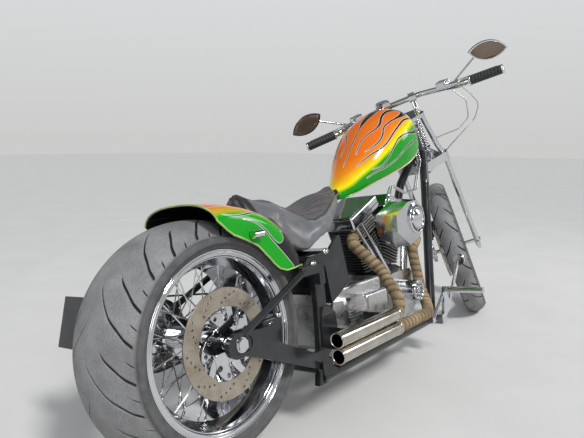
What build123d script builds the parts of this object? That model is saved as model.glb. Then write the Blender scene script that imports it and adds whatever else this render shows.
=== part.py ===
from build123d import *
import math
import os

os.makedirs("parts", exist_ok=True)

# Millimetres. X points forward, Y to the rider's left, Z up.
# The motorcycle is drawn upright and straight, its origin on the ground under the rear axle.
# At the end it is turned onto its side stand, with the steering on its left stop.

# Stance
WHEELBASE = 1831.4
RAKE = 31.76
TRAIL = 127.1
LEAN = 8.59
STEER_REST = 27.4
SETTLE_PITCH = 0.315
SEAT_GAP = 0.3
PIN_PLAY = 0.05
MOVING_GAP = 5.0

# Wheels and tyres
REAR_TYRE_R = 329.2
REAR_TYRE_HALF = 140.7
REAR_CROWN_DROP = 55.0
REAR_RIM_LIP_R = 246.8
REAR_RIM_HALF = 124.7
REAR_BEAD_R = 229.0
REAR_SPOKE_COUNT = 30
FRONT_TYRE_R = 352.5
FRONT_TYRE_HALF = 49.1
FRONT_CROWN_DROP = 26.0
FRONT_RIM_LIP_R = 281.0
FRONT_RIM_HALF = 38.0
FRONT_BEAD_R = 267.0
FRONT_SPOKE_COUNT = 20
CROWN_POWER = 2.2
RIM_WALL = 5.0
SPOKE_R = 2.2
HUB_R = 30.0
HUB_FLANGE_R = 52.0
HUB_FLANGE = 6.0
REAR_HUB_HALF = 72.0
FRONT_HUB_HALF = 36.0
FRONT_HUB_R = 24.0
FRONT_FLANGE_R = 42.0
AXLE_R = 10.0
TREAD_SHARE = 0.96

# Brakes and final drive
DISC_R = 146.0
DISC_INNER_R = 96.0
DISC_T = 5.0
REAR_DISC_Y = -128.2
FRONT_DISC_Y = 72.0
BELT_Y = 182.0
BELT_W = 18.0
BELT_T = 5.0
REAR_PULLEY_R = 106.0
FRONT_PULLEY_R = 52.0
CARRIER_ARM_COUNT = 5

# Rear fender
FENDER_R = 370.0
FENDER_HALF = 158.0
FENDER_SKIRT_R = 278.0
FENDER_DROP = 48.0
FENDER_T = 4.0
FENDER_FRONT = 28.0
FENDER_REAR = 92.0

# Frame
TUBE_R = 19.0
CROSS_R = 16.0
NECK_R = 27.0
STEM_R = 14.0
NECK_LOW = 575.0
NECK_HIGH = 778.0
RAIL_LOW_Z = 128.0
RAIL_FRONT_Y = 129.0
RAIL_AHEAD_OF_CRANK = 225.0
UPRIGHT_DEPTH = 47.0
UPRIGHT_T = 24.0
UPRIGHT_OUT_Y = FENDER_HALF + SEAT_GAP
UPRIGHT_TOP = (372.0, 505.0)
UPRIGHT_MIDDLE = (380.0, 360.0)
UPRIGHT_LOW = (352.0, 110.0)
GUSSET_T = 6.0
SWING_T = 16.0
SWING_RIGHT_Y = 178.0
SWING_LEFT_Y = 205.0
NUT_H = 8.0

# Engine
CRANK_X = 925.0
CRANK_Z = 283.0
CYLINDER_ANGLE = 22.5
CYLINDER_BASE = 112.0
HEAD_BASE = 262.0
HEAD_TOP = 326.0
FIN_PITCH = 12.0
FIN_T = 4.0
HEAD_FIN_T = 7.0
FIN_HALF_X = 72.0
FIN_HALF_Y = 64.0
FIN_CHAMFER = 18.0
HEAD_GROW = 6.0
BARREL_R = 52.0
ROCKER_H = 52.0
ROCKER_HALF_X = 102.0
ROCKER_OUT_Y = 88.0
ROCKER_IN_Y = 70.0
CASE_HALF_Y = 84.0
COVER_DEPTH = 50.0
PUSHROD_R = 7.0

# Fork and bars, in the steering frame: X ahead of the steering axis, Z up along it
LEG_R = 13.0
LEG_X = 37.5
LEG_Y = 115.0
LEG_TREE_Y = 108.0
SPRING_LEG_R = 9.0
SPRING_LEG_X = 73.0
LOWER_TREE = 527.0
LOWER_TREE_T = 44.0
UPPER_TREE = 784.0
UPPER_TREE_T = 18.0
UPPER_LEG_X = 16.0
UPPER_LEG_Y = 68.0
SPRING_R = 19.0
SPRING_ROD_R = 6.0
SPRING_Y = 38.0
SPRING_TURN_COUNT = 7
BAR_R = 12.7
BAR_MIDDLE_Y = 95.0
GRIP_R = 17.5
GRIP_LENGTH = 128.0
GRIP_END_X = -202.0
GRIP_END_Y = 419.5
GRIP_END_Z = 930.0
RISER_X = 58.0
RISER_Y = 58.0
RISER_TOP = 856.0

rake_sin = math.sin(math.radians(RAKE))
rake_cos = math.cos(math.radians(RAKE))
AXLE_LEAD = FRONT_TYRE_R * rake_sin - TRAIL * rake_cos
FOOT_X = WHEELBASE - AXLE_LEAD * rake_cos
FOOT_Z = FRONT_TYRE_R - AXLE_LEAD * rake_sin

bike_frame = Rot(0, SETTLE_PITCH, 0) * Rot(-LEAN, 0, 0)
neck_frame = Pos(FOOT_X, 0, FOOT_Z) * Rot(0, -RAKE, 0)
steered_frame = bike_frame * neck_frame * Rot(0, 0, STEER_REST)
rear_axle_frame = Pos(0, 0, REAR_TYRE_R)
front_axle_frame = Pos(AXLE_LEAD, 0, 0)

nodes = {}


def rod(start, end, radius):
    """Round bar between two points."""
    run = Vector(*end) - Vector(*start)
    bar = Cylinder(radius, run.length, align=(Align.CENTER, Align.CENTER, Align.MIN))
    return Plane(origin=start, z_dir=run).location * bar


def cone_rod(start, end, radius_start, radius_end):
    """Tapered round bar between two points."""
    run = Vector(*end) - Vector(*start)
    bar = Cone(radius_start, radius_end, run.length, align=(Align.CENTER, Align.CENTER, Align.MIN))
    return Plane(origin=start, z_dir=run).location * bar


def prism(start, end, radius, sides):
    """Straight bar of a regular polygon section between two points."""
    run = Vector(*end) - Vector(*start)
    section = Plane(origin=start, z_dir=run) * RegularPolygon(radius, sides)
    return extrude(section, run.length)


def tube(points, radius, bend):
    """Round tube of straight runs joined by tangent arcs; bend is one radius, or one for each corner."""
    path = FilletPolyline(*points, radius=bend)
    section = Plane(origin=path @ 0, z_dir=path % 0) * Circle(radius)
    return sweep(section, path=path)


def turned(points):
    """Solid of revolution about Y from (y, radius) points."""
    outline = Wire.make_polygon([(0, y, r) for y, r in points], close=True)
    return revolve(Face(outline), Axis.Y, 360)


def ring(y_low, y_high, inner, outer):
    """Flat ring about Y."""
    return turned([(y_low, inner), (y_high, inner), (y_high, outer), (y_low, outer)])


def plate(outline, y_low, y_high):
    """Flat plate between two Y values from an (x, z) outline."""
    wire = Wire.make_polygon([(x, y_low, z) for x, z in outline], close=True)
    return extrude(Face(wire), y_high - y_low, dir=(0, 1, 0))


def block(x_range, y_range, z_range, edge=0.0):
    """Box between ranges, its edges rounded by edge."""
    size = [high - low for low, high in (x_range, y_range, z_range)]
    centre = [(high + low) / 2 for low, high in (x_range, y_range, z_range)]
    solid = Pos(*centre) * Box(*size)
    if edge:
        solid = fillet(solid.edges(), edge)
    return solid


def crown_radius(y, radius, half_width, drop):
    """Radius of a tyre's tread at a distance y from its middle."""
    return radius - drop * abs(y / half_width) ** CROWN_POWER


def tyre(radius, half_width, drop, lip_r, rim_half, bead_r, steps, wall):
    """Hollow tyre about Y, standing just clear of its rim."""
    outer = [TREAD_SHARE * half_width * k / steps for k in range(-steps, steps + 1)]
    crown = [(y, crown_radius(y, radius, half_width, drop)) for y in outer]
    flange_in = rim_half - RIM_WALL - SEAT_GAP
    bead_low = bead_r + SEAT_GAP
    shoulder_r = crown[0][1]
    wide_r = shoulder_r - 0.3 * (shoulder_r - lip_r)
    side = [
        (half_width, wide_r),
        (rim_half, lip_r + SEAT_GAP),
        (flange_in, lip_r + SEAT_GAP),
        (flange_in, bead_low),
        (flange_in - wall, bead_low),
        (half_width - wall, wide_r - wall / 3),
    ]
    mirrored = [(-y, r) for y, r in reversed(side)]
    return turned(crown + side + [(0, radius - wall)] + mirrored)


def rim(lip_r, rim_half, bead_r, well_depth):
    """Flanged rim about Y with a drop centre."""
    flange_in = rim_half - RIM_WALL
    seat_in = flange_in * 0.8
    well = flange_in * 0.62
    outer = [
        (rim_half, lip_r),
        (flange_in, lip_r),
        (flange_in, bead_r),
        (seat_in, bead_r),
        (well, bead_r - well_depth),
    ]
    inner = [(y, r - RIM_WALL) for y, r in outer[2:]]
    inner[0] = (rim_half, lip_r - 3 * RIM_WALL)
    left = outer + [(-y, r) for y, r in reversed(outer)]
    right = [(-y, r) for y, r in inner] + list(reversed(inner))
    return turned(left + right)


def spokes(count, hub_r, hub_y, rim_r, rim_y, lace):
    """Crossed wire spokes of both sides of a wheel about Y."""
    bars = []
    for side in (-1, 1):
        for k in range(count):
            turn = 360 * k / count
            swing = lace if k % 2 else -lace
            outboard = 3 if k % 2 else -3
            a = math.radians(turn)
            b = math.radians(turn + swing)
            start = (hub_r * math.cos(a), side * (hub_y + outboard), hub_r * math.sin(a))
            end = (rim_r * math.cos(b), side * rim_y, rim_r * math.sin(b))
            bars.append(prism(start, end, SPOKE_R, 4))
    return bars


def wire_wheel(lip_r, rim_half, bead_r, well_depth, hub, flange_r, flange_y, count):
    """Rim, hub and spokes as one solid about Y."""
    well_r = bead_r - well_depth
    laced = spokes(count, flange_r - 5, flange_y, well_r - 1, rim_half * 0.35, 34)
    return rim(lip_r, rim_half, bead_r, well_depth).fuse(hub, *laced)


# Rear wheel
hub_profile = [
    (-REAR_HUB_HALF - HUB_FLANGE, AXLE_R + PIN_PLAY),
    (REAR_HUB_HALF + HUB_FLANGE, AXLE_R + PIN_PLAY),
    (REAR_HUB_HALF + HUB_FLANGE, HUB_FLANGE_R),
    (REAR_HUB_HALF - HUB_FLANGE, HUB_FLANGE_R),
    (REAR_HUB_HALF - HUB_FLANGE, HUB_R),
    (-REAR_HUB_HALF + HUB_FLANGE, HUB_R),
    (-REAR_HUB_HALF + HUB_FLANGE, HUB_FLANGE_R),
    (-REAR_HUB_HALF - HUB_FLANGE, HUB_FLANGE_R),
]
rear_tyre = tyre(
    REAR_TYRE_R, REAR_TYRE_HALF, REAR_CROWN_DROP, REAR_RIM_LIP_R, REAR_RIM_HALF, REAR_BEAD_R, 3, 12
)
rear_wheel = wire_wheel(
    REAR_RIM_LIP_R,
    REAR_RIM_HALF,
    REAR_BEAD_R,
    20,
    turned(hub_profile),
    HUB_FLANGE_R,
    REAR_HUB_HALF,
    REAR_SPOKE_COUNT,
)
rear_hub_end = REAR_HUB_HALF + HUB_FLANGE
disc_out = REAR_DISC_Y + DISC_T / 2


def carrier_arms(y):
    """Curved arms that hold a brake disc at y."""
    tip = DISC_INNER_R + 1
    outline = [(32, -12), (62, -10), (tip, 6), (tip, 26), (78, 18), (58, 10), (32, 12)]
    arm = plate(outline, y - 4, y + 4) & ring(y - 5, y + 5, 1, DISC_INNER_R)
    return [Rot(0, 360 * k / CARRIER_ARM_COUNT, 0) * arm for k in range(CARRIER_ARM_COUNT)]


rear_carrier = ring(REAR_DISC_Y - 4, -rear_hub_end - SEAT_GAP, AXLE_R + PIN_PLAY, 46)
rear_carrier = rear_carrier.fuse(*carrier_arms(REAR_DISC_Y))
rear_disc = ring(REAR_DISC_Y - DISC_T / 2, disc_out, DISC_INNER_R, DISC_R)
pulley_low = BELT_Y - BELT_W / 2
rear_pulley = ring(pulley_low - 3, BELT_Y + BELT_W / 2 + 2, 60, REAR_PULLEY_R)
rear_pulley += ring(pulley_low - 3, pulley_low + 5, 30, 61)
rear_pulley += ring(rear_hub_end + SEAT_GAP, pulley_low + 5, AXLE_R + PIN_PLAY, 34)

nodes["rear_tyre"] = bike_frame * rear_axle_frame * rear_tyre
nodes["rear_wire_wheel"] = bike_frame * rear_axle_frame * rear_wheel
nodes["rear_disc_carrier"] = bike_frame * rear_axle_frame * rear_carrier
nodes["rear_brake_disc"] = bike_frame * rear_axle_frame * rear_disc
nodes["rear_pulley"] = bike_frame * rear_axle_frame * rear_pulley

# Front wheel
front_hub_profile = [
    (-FRONT_HUB_HALF - HUB_FLANGE, AXLE_R + PIN_PLAY),
    (FRONT_HUB_HALF + HUB_FLANGE, AXLE_R + PIN_PLAY),
    (FRONT_HUB_HALF + HUB_FLANGE, FRONT_FLANGE_R),
    (FRONT_HUB_HALF - HUB_FLANGE, FRONT_FLANGE_R),
    (FRONT_HUB_HALF - HUB_FLANGE, FRONT_HUB_R),
    (-FRONT_HUB_HALF + HUB_FLANGE, FRONT_HUB_R),
    (-FRONT_HUB_HALF + HUB_FLANGE, FRONT_FLANGE_R),
    (-FRONT_HUB_HALF - HUB_FLANGE, FRONT_FLANGE_R),
]
front_tyre = tyre(
    FRONT_TYRE_R, FRONT_TYRE_HALF, FRONT_CROWN_DROP, FRONT_RIM_LIP_R, FRONT_RIM_HALF, FRONT_BEAD_R, 2, 8
)
front_wheel = wire_wheel(
    FRONT_RIM_LIP_R,
    FRONT_RIM_HALF,
    FRONT_BEAD_R,
    12,
    turned(front_hub_profile),
    FRONT_FLANGE_R,
    FRONT_HUB_HALF,
    FRONT_SPOKE_COUNT,
)
front_hub_end = FRONT_HUB_HALF + HUB_FLANGE
front_disc = ring(FRONT_DISC_Y - DISC_T / 2, FRONT_DISC_Y + DISC_T / 2, DISC_INNER_R, DISC_R)
front_carrier = ring(front_hub_end + SEAT_GAP, FRONT_DISC_Y + 4, AXLE_R + PIN_PLAY, 40)
front_carrier = front_carrier.fuse(*carrier_arms(FRONT_DISC_Y))

nodes["front_tyre"] = steered_frame * front_axle_frame * front_tyre
nodes["front_wire_wheel"] = steered_frame * front_axle_frame * front_wheel
nodes["front_brake_disc"] = steered_frame * front_axle_frame * front_disc
nodes["front_disc_carrier"] = steered_frame * front_axle_frame * front_carrier

# Frame
TANK_PITCH = 24.0
TANK_X = 700.0
TANK_Z = 665.0
TANK_FLOOR = -20.0
TANK_NOSE_UP = 52.0
TANK_NOSE_GAP = 63.7
BACKBONE_UP = 5.0
tank_frame = Pos(TANK_X, 0, TANK_Z) * Rot(0, -TANK_PITCH, 0)
tank_sin = math.sin(math.radians(TANK_PITCH))
tank_cos = math.cos(math.radians(TANK_PITCH))


def on_tank(along, up):
    """Bike (x, z) of a point along and above the tank's floor line."""
    return TANK_X + along * tank_cos - up * tank_sin, TANK_Z + along * tank_sin + up * tank_cos


def neck_along(up):
    """Distance along the tank's floor line at which a line that far above it meets the steering axis."""
    reach = (FOOT_X - TANK_X) * rake_cos + (FOOT_Z - TANK_Z) * rake_sin
    slope = tank_cos * rake_sin - tank_sin * rake_cos
    return (reach - up * slope) / (tank_cos * rake_cos + tank_sin * rake_sin)


def neck_point(along, behind):
    """Bike (x, z) of a point up the steering axis and behind it."""
    return FOOT_X - along * rake_sin - behind * rake_cos, FOOT_Z + along * rake_cos - behind * rake_sin


BASE = (Align.CENTER, Align.CENTER, Align.MIN)
neck = neck_frame * Pos(0, 0, NECK_LOW) * Cylinder(NECK_R, NECK_HIGH - NECK_LOW, align=BASE)
neck_bore = Cylinder(STEM_R + PIN_PLAY, NECK_HIGH - NECK_LOW + 30, align=BASE)
neck_bore = neck_frame * Pos(0, 0, NECK_LOW - 1) * neck_bore
rear_x, rear_z = on_tank(-20, BACKBONE_UP)
backbone_reach = neck_along(BACKBONE_UP) - NECK_R / 2
front_x, front_z = on_tank(backbone_reach, BACKBONE_UP)
SEAT_CROSS = (UPRIGHT_TOP[0], UPRIGHT_TOP[1] - 17)
backbone_points = [
    (SEAT_CROSS[0], 0, SEAT_CROSS[1]),
    (500, 0, 533),
    (rear_x, 0, rear_z),
    (front_x, 0, front_z),
]
above_neck = neck_frame * Pos(0, 0, NECK_HIGH) * Box(200, 200, 100, align=BASE)
backbone = tube(backbone_points, TUBE_R, 90) - above_neck
rail_top = neck_point(624, 8.3)
rail_knee = (rail_top[0] - 85, rail_top[1] - 138)
gusset_outline = [
    on_tank(backbone_reach - 112, -10),
    on_tank(backbone_reach, -10),
    (rail_top[0] - 30, rail_top[1] + 22),
    (rail_top[0] - 50, rail_top[1] + 12),
]
gusset = plate(gusset_outline, -4, 4)


def both(side, y_in, y_out):
    """Sorted Y range of a piece between two distances from the middle, on one side."""
    return sorted((side * y_in, side * y_out))


def upright(side):
    """Curved box member of one side, from the lower rail to the seat."""
    edges = []
    for shift_x in (-UPRIGHT_DEPTH / 2, UPRIGHT_DEPTH / 2):
        points = [(x + shift_x, 0, z) for x, z in (UPRIGHT_LOW, UPRIGHT_MIDDLE, UPRIGHT_TOP)]
        edges.append(ThreePointArc(*points))
    rear, front = edges
    outline = Wire([rear, Line(rear @ 1, front @ 1), front, Line(front @ 0, rear @ 0)])
    low, high = both(side, UPRIGHT_OUT_Y - UPRIGHT_T, UPRIGHT_OUT_Y)
    member = Pos(0, low, 0) * extrude(Face(outline), high - low, dir=(0, 1, 0))
    return chamfer(member.edges().filter_by(GeomType.CIRCLE), 3)


def rail(side):
    """One side of the cradle: lower tube, upright and the plate that carries fender and seat."""
    y = side * (UPRIGHT_OUT_Y - UPRIGHT_T / 2)
    points = [
        (rail_top[0], side * 24, rail_top[1]),
        (rail_knee[0], side * 62, rail_knee[1]),
        (CRANK_X + RAIL_AHEAD_OF_CRANK, side * RAIL_FRONT_Y, RAIL_LOW_Z),
        (UPRIGHT_LOW[0], y, RAIL_LOW_Z),
    ]
    ear_outline = [(296, 480), (330, 466), (366, 458), (404, 470), (438, 498), (446, 516), (372, 508)]
    ear_outline.append((330, 503))
    ear = plate(ear_outline, *both(side, UPRIGHT_OUT_Y, UPRIGHT_OUT_Y + GUSSET_T))
    return tube(points, TUBE_R, 55).fuse(upright(side), ear)


rails = {"left": rail(1) - neck, "right": rail(-1) - neck}
cross_y = UPRIGHT_OUT_Y - UPRIGHT_T / 2


def between(solid):
    """What of a cross tube lies between the rails."""
    cut = solid - rails["left"] - rails["right"]
    return max(cut.solids(), key=lambda s: s.volume)


seat_cross_x, seat_cross_z = SEAT_CROSS
seat_cross_ends = [(seat_cross_x, y, seat_cross_z) for y in (-cross_y, cross_y)]
seat_cross = between(rod(*seat_cross_ends, CROSS_R))
neck_and_backbone = (backbone + neck + gusset + seat_cross) - neck_bore - rails["left"] - rails["right"]
nodes["frame_backbone"] = bike_frame * neck_and_backbone
for name, solid in rails.items():
    nodes["frame_rail_" + name] = bike_frame * solid
CROSS_STATIONS = (960.0, 700.0, 420.0)
crosses = [between(rod((x, -cross_y, RAIL_LOW_Z), (x, cross_y, RAIL_LOW_Z), CROSS_R)) for x in CROSS_STATIONS]
nodes["frame_cross_tubes"] = bike_frame * Compound(children=crosses)

# Swingarm
SWING_TOP = (284.0, 470.0)
SWING_LOW = (352.0, 176.0)
SWING_SIDES = (
    # name, side, distance from the middle
    ("left", 1, SWING_LEFT_Y),
    ("right", -1, SWING_RIGHT_Y),
)
SLOT_DEPTH = 3.0


def y_block(x_range, side, y_in, y_out, z_range):
    """Box between two distances from the middle, on one side."""
    return block(x_range, both(side, y_in, y_out), z_range)


def swing_side(side, distance):
    """Triangular arm of one side, bored and slotted for the axle, with lugs that reach the frame."""
    y = side * distance
    inside = distance - SWING_T / 2
    outside = distance + SWING_T / 2
    end_plane = Plane(origin=(0, side * outside, REAR_TYRE_R), x_dir=(1, 0, 0), z_dir=(0, side, 0))
    end_face = make_hull((Pos(-16, 0) * Circle(32)).edges() + (Pos(30, 0) * Circle(30)).edges())
    end = extrude(end_plane * end_face, -SWING_T)
    slot = extrude(end_plane * SlotOverall(74, 42), -SLOT_DEPTH)
    upper = rod((12, y, REAR_TYRE_R + 22), (SWING_TOP[0], y, SWING_TOP[1]), 10.5)
    lower_outline = [(-10, 308), (10, 352), (52, 340), (SWING_LOW[0], 198), (SWING_LOW[0] - 6, 156)]
    lower = plate(lower_outline, y - 8, y + 8)
    web = plate([(292, 226), (SWING_LOW[0], 232), (SWING_LOW[0], 150), (318, 158)], y - 8, y + 8)
    lug_z = (SWING_TOP[1] - 14, SWING_TOP[1] + 14)
    top_lug = y_block((SWING_TOP[0] - 16, 364), side, inside, outside, lug_z)
    top_ear = y_block((346, 372), side, UPRIGHT_OUT_Y, outside, (420, SWING_TOP[1] + 14))
    low_ear = y_block((332, 366), side, UPRIGHT_OUT_Y, outside, (158, 194))
    arm = end.fuse(upper, lower, web, top_lug, top_ear, low_ear)
    bore = Pos(0, y, REAR_TYRE_R) * Rot(90, 0, 0) * Cylinder(AXLE_R + PIN_PLAY, 60)
    return arm - bore - slot


axle_right = SWING_RIGHT_Y + SWING_T / 2 + NUT_H
axle_left = SWING_LEFT_Y + SWING_T / 2 + NUT_H
axle = rod((0, -axle_right + SLOT_DEPTH, REAR_TYRE_R), (0, axle_left - SLOT_DEPTH, REAR_TYRE_R), AXLE_R)
for name, side, distance in SWING_SIDES:
    arm = swing_side(side, distance) - rails[name]
    nodes["swingarm_" + name] = bike_frame * max(arm.solids(), key=lambda s: s.volume)
    seat_y = distance + SWING_T / 2 - SLOT_DEPTH
    axle += rod((0, side * seat_y, REAR_TYRE_R), (0, side * (seat_y + 2), REAR_TYRE_R), 20)
    axle += prism((0, side * seat_y, REAR_TYRE_R), (0, side * (seat_y + NUT_H), REAR_TYRE_R), 18, 6)
SPACER_R = 17.0
spacer_right_in = REAR_DISC_Y - 4 - MOVING_GAP
spacer_left_in = pulley_low + 5 + MOVING_GAP
axle += rod((0, -SWING_RIGHT_Y + SWING_T / 2, REAR_TYRE_R), (0, spacer_right_in, REAR_TYRE_R), SPACER_R)
axle += rod((0, SWING_LEFT_Y - SWING_T / 2, REAR_TYRE_R), (0, spacer_left_in, REAR_TYRE_R), SPACER_R)
nodes["rear_axle"] = bike_frame * axle

# Belt drive on the left
GEARBOX_OUT_X = 560.0
GEARBOX_OUT_Z = 300.0


def belt_outline(rear_r, front_r):
    """Face round both pulleys in the XZ plane."""
    rear_circle = Pos(0, 0) * Circle(rear_r)
    front_circle = Pos(GEARBOX_OUT_X, GEARBOX_OUT_Z - REAR_TYRE_R) * Circle(front_r)
    return make_hull(rear_circle.edges() + front_circle.edges())


belt_gap = 1.5
belt_plane = Plane(origin=(0, BELT_Y + BELT_W / 2, REAR_TYRE_R), x_dir=(1, 0, 0), z_dir=(0, -1, 0))
belt_face = belt_outline(REAR_PULLEY_R + belt_gap + BELT_T, FRONT_PULLEY_R + SEAT_GAP + BELT_T)
belt_hole = belt_outline(REAR_PULLEY_R + belt_gap, FRONT_PULLEY_R + SEAT_GAP)
belt = extrude(belt_plane * belt_face, BELT_W) - extrude(belt_plane * belt_hole, BELT_W)
nodes["drive_belt"] = bike_frame * belt

# Rear brake caliper
CALIPER_X = 150.0
CALIPER_Z = REAR_TYRE_R - 9
CALIPER_OUT_Y = -158.0
rotor_room = (DISC_T / 2 + MOVING_GAP, DISC_R + MOVING_GAP)
rotor_gap = ring(REAR_DISC_Y - rotor_room[0], REAR_DISC_Y + rotor_room[0], 60, rotor_room[1])
caliper = block((CALIPER_X - 38, CALIPER_X + 38), (CALIPER_OUT_Y, -104), (CALIPER_Z - 45, CALIPER_Z + 45), 9)
caliper -= rear_axle_frame * rotor_gap
cap_plane = Plane(origin=(CALIPER_X - 5, CALIPER_OUT_Y, CALIPER_Z), x_dir=(0, 0, 1), z_dir=(0, -1, 0))
caliper += extrude(cap_plane * SlotOverall(60, 19), 2.5)
hanger_outline = [(14, 308), (14, 350), (CALIPER_X - 16, 346), (CALIPER_X - 16, 300)]
bracket = plate(hanger_outline, CALIPER_OUT_Y - 8, CALIPER_OUT_Y + 2)
bracket -= rod((0, -200, REAR_TYRE_R), (0, -100, REAR_TYRE_R), SPACER_R + SEAT_GAP)
nodes["rear_caliper"] = bike_frame * (caliper + bracket)


# Rear fender
def fender_section(inset):
    """(y, radius) outline of one skin of the fender, inset from the outside."""
    half = FENDER_HALF - inset
    top = FENDER_R - inset
    shoulder = top - FENDER_DROP
    arc = ThreePointArc((0, -half + 5, shoulder), (0, 0, top), (0, half - 5, shoulder))
    left = Line((0, half - 5, shoulder), (0, half, FENDER_SKIRT_R))
    right = Line((0, -half, FENDER_SKIRT_R), (0, -half + 5, shoulder))
    base = Line((0, half, FENDER_SKIRT_R), (0, -half, FENDER_SKIRT_R))
    return Face(Wire([arc, left, base, right]))


fender_skin = fender_section(0) - fender_section(FENDER_T)
fender_start = Rot(0, -FENDER_REAR + 90, 0) * fender_skin
fender = rear_axle_frame * revolve(fender_start, Axis.Y, FENDER_REAR - FENDER_FRONT)
skirt_low = FENDER_SKIRT_R - 60
rear_corner = [(-70, 0.94 * FENDER_R), (-70, skirt_low), (42, skirt_low), (42, FENDER_SKIRT_R)]
fender -= rear_axle_frame * plate(rear_corner, -FENDER_HALF - 1, FENDER_HALF + 1)
nodes["rear_fender"] = bike_frame * fender

# Seat
SEAT_STATIONS = (
    # x, half width, low edge z, top z
    (192.0, 40.0, 672.0, 690.0),
    (246.0, 100.0, 636.0, 697.0),
    (304.0, 122.0, 568.0, 695.0),
    (350.0, 136.0, 518.0, 686.0),
    (434.0, 139.0, 537.0, 664.0),
    (530.0, 118.0, 561.0, 684.0),
    (600.0, 92.0, 592.0, 700.0),
    (662.0, 66.0, 628.0, 714.0),
    (700.0, 40.0, 662.0, 722.0),
)


def seat_section(x, half, low, top):
    """Closed section of the seat at x: flat below and arched above."""
    crest = Bezier((x, -half, low), (x, 0, 2 * top - low), (x, half, low))
    return Face(Wire([crest, Line((x, half, low), (x, -half, low))]))


seat = loft([seat_section(*row) for row in SEAT_STATIONS])
fender_fill = revolve(Rot(0, -FENDER_REAR + 80, 0) * fender_section(-SEAT_GAP), Axis.Y, FENDER_REAR - 8)
seat -= rear_axle_frame * fender_fill
seat -= tube(backbone_points, TUBE_R + SEAT_GAP, 90)
seat = max(seat.solids(), key=lambda s: s.volume)
for solid in rails.values():
    seat -= solid
seat = max(seat.solids(), key=lambda s: s.volume)
nodes["seat"] = bike_frame * seat

# Fuel tank
TANK_STATIONS = (
    # share of the length, half width, widest height, top height
    (0.058, 26.0, -2.0, 18.0),
    (0.168, 66.0, 0.0, 50.0),
    (0.366, 118.0, 22.0, 108.0),
    (0.61, 154.0, 46.0, 160.0),
    (0.823, 148.0, 52.0, 168.0),
    (0.96, 104.0, 52.0, 140.0),
    (1.0, 60.0, 52.0, 110.0),
)
TANK_TUNNEL_HALF = 22.0
TANK_LENGTH = neck_along(TANK_NOSE_UP) - TANK_NOSE_GAP


def tank_section(share, half, wide, top):
    """Closed section of the tank across its floor line."""
    corner = half * 0.55
    low = wide - TANK_FLOOR
    roof = EllipticalCenterArc((0, wide), half, top - wide, start_angle=0, arc_size=180)
    left = EllipticalCenterArc((-half + corner, wide), corner, low, start_angle=180, arc_size=90)
    right = EllipticalCenterArc((half - corner, wide), corner, low, start_angle=270, arc_size=90)
    base = Line((-half + corner, TANK_FLOOR), (half - corner, TANK_FLOOR))
    face = make_face([roof, left, base, right])
    return Plane(origin=(share * TANK_LENGTH, 0, 0), x_dir=(0, -1, 0), z_dir=(-1, 0, 0)) * face


tank = loft([tank_section(*row) for row in TANK_STATIONS])
tunnel_top = BACKBONE_UP + TUBE_R + SEAT_GAP
tank -= block((-50, TANK_LENGTH + 50), (-TANK_TUNNEL_HALF, TANK_TUNNEL_HALF), (TANK_FLOOR - 5, tunnel_top))
CAP_SHARE = 0.854
CAP_R = 30.0
CAP_TOP = 181.0
CAP_SEAT = 160.0
cap_place = Pos(CAP_SHARE * TANK_LENGTH, 0, CAP_SEAT)
cap = Cylinder(CAP_R, CAP_TOP - CAP_SEAT, align=BASE)
tank -= cap_place * Pos(0, 0, -SEAT_GAP) * Cylinder(CAP_R + SEAT_GAP, 60, align=BASE)
nodes["fuel_tank"] = bike_frame * tank_frame * tank
nodes["fuel_cap"] = bike_frame * tank_frame * cap_place * chamfer(cap.edges().sort_by(Axis.Z)[-1], 4)

# Oil tank
PRIMARY_Y = 90.0
GEARBOX_Y = (-120.0, PRIMARY_Y - SEAT_GAP)
GEARBOX_TOP = 372.0
OIL_TANK_HALF = 154.0
OIL_TANK_LOW_TOP = 510.0
oil_tank = plate([(438, 343), (417, 487), (500, 552), (514, 552), (545, 395)], -OIL_TANK_HALF, OIL_TANK_HALF)
seat_room = SEAT_STATIONS[4][1] + MOVING_GAP
oil_tank -= block((400, 700), (-seat_room, seat_room), (OIL_TANK_LOW_TOP, 620))
oil_tank -= tube(backbone_points, TUBE_R + SEAT_GAP, 90)
gearbox_room = GEARBOX_Y[0] - MOVING_GAP, GEARBOX_Y[1] + MOVING_GAP
oil_tank -= block((400, 700), gearbox_room, (300, GEARBOX_TOP + SEAT_GAP))
nodes["oil_tank"] = bike_frame * max(oil_tank.solids(), key=lambda s: s.volume)

# Engine and gearbox
crank_frame = Pos(CRANK_X, 0, CRANK_Z)


def v_frame(side):
    """Frame of one cylinder: its Z runs up the bore; side 1 is the front one."""
    return crank_frame * Rot(0, side * CYLINDER_ANGLE, 0)


CASE_HALF_X = 128.0
case_low = RAIL_LOW_Z + CROSS_R + SEAT_GAP - CRANK_Z
half_outline = [(CASE_HALF_X, 60), (CASE_HALF_X, -96), (CASE_HALF_X - 32, case_low)]
case_outline = [(92, 102)] + half_outline + [(-x, z) for x, z in reversed(half_outline)] + [(-92, 102)]
case = plate(case_outline, -CASE_HALF_Y, PRIMARY_Y - SEAT_GAP)
case = crank_frame * fillet(case.edges().filter_by(Axis.Y), 14)
for side in (-1, 1):
    case -= v_frame(side) * Pos(0, 0, CYLINDER_BASE) * Box(170, 200, 60, align=BASE)
nodes["crankcase"] = bike_frame * case


def fin_plate(half_x, half_y, thickness):
    """One cooling fin: a plate with its corners cut off."""
    corners = []
    for x, y in ((1, 1), (-1, 1), (-1, -1), (1, -1)):
        along = (x * (half_x - FIN_CHAMFER), y * half_y)
        across = (x * half_x, y * (half_y - FIN_CHAMFER))
        corners += [across, along] if x * y > 0 else [along, across]
    return extrude(Face(Wire.make_polygon([(x, y, 0) for x, y in corners], close=True)), thickness)


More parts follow.
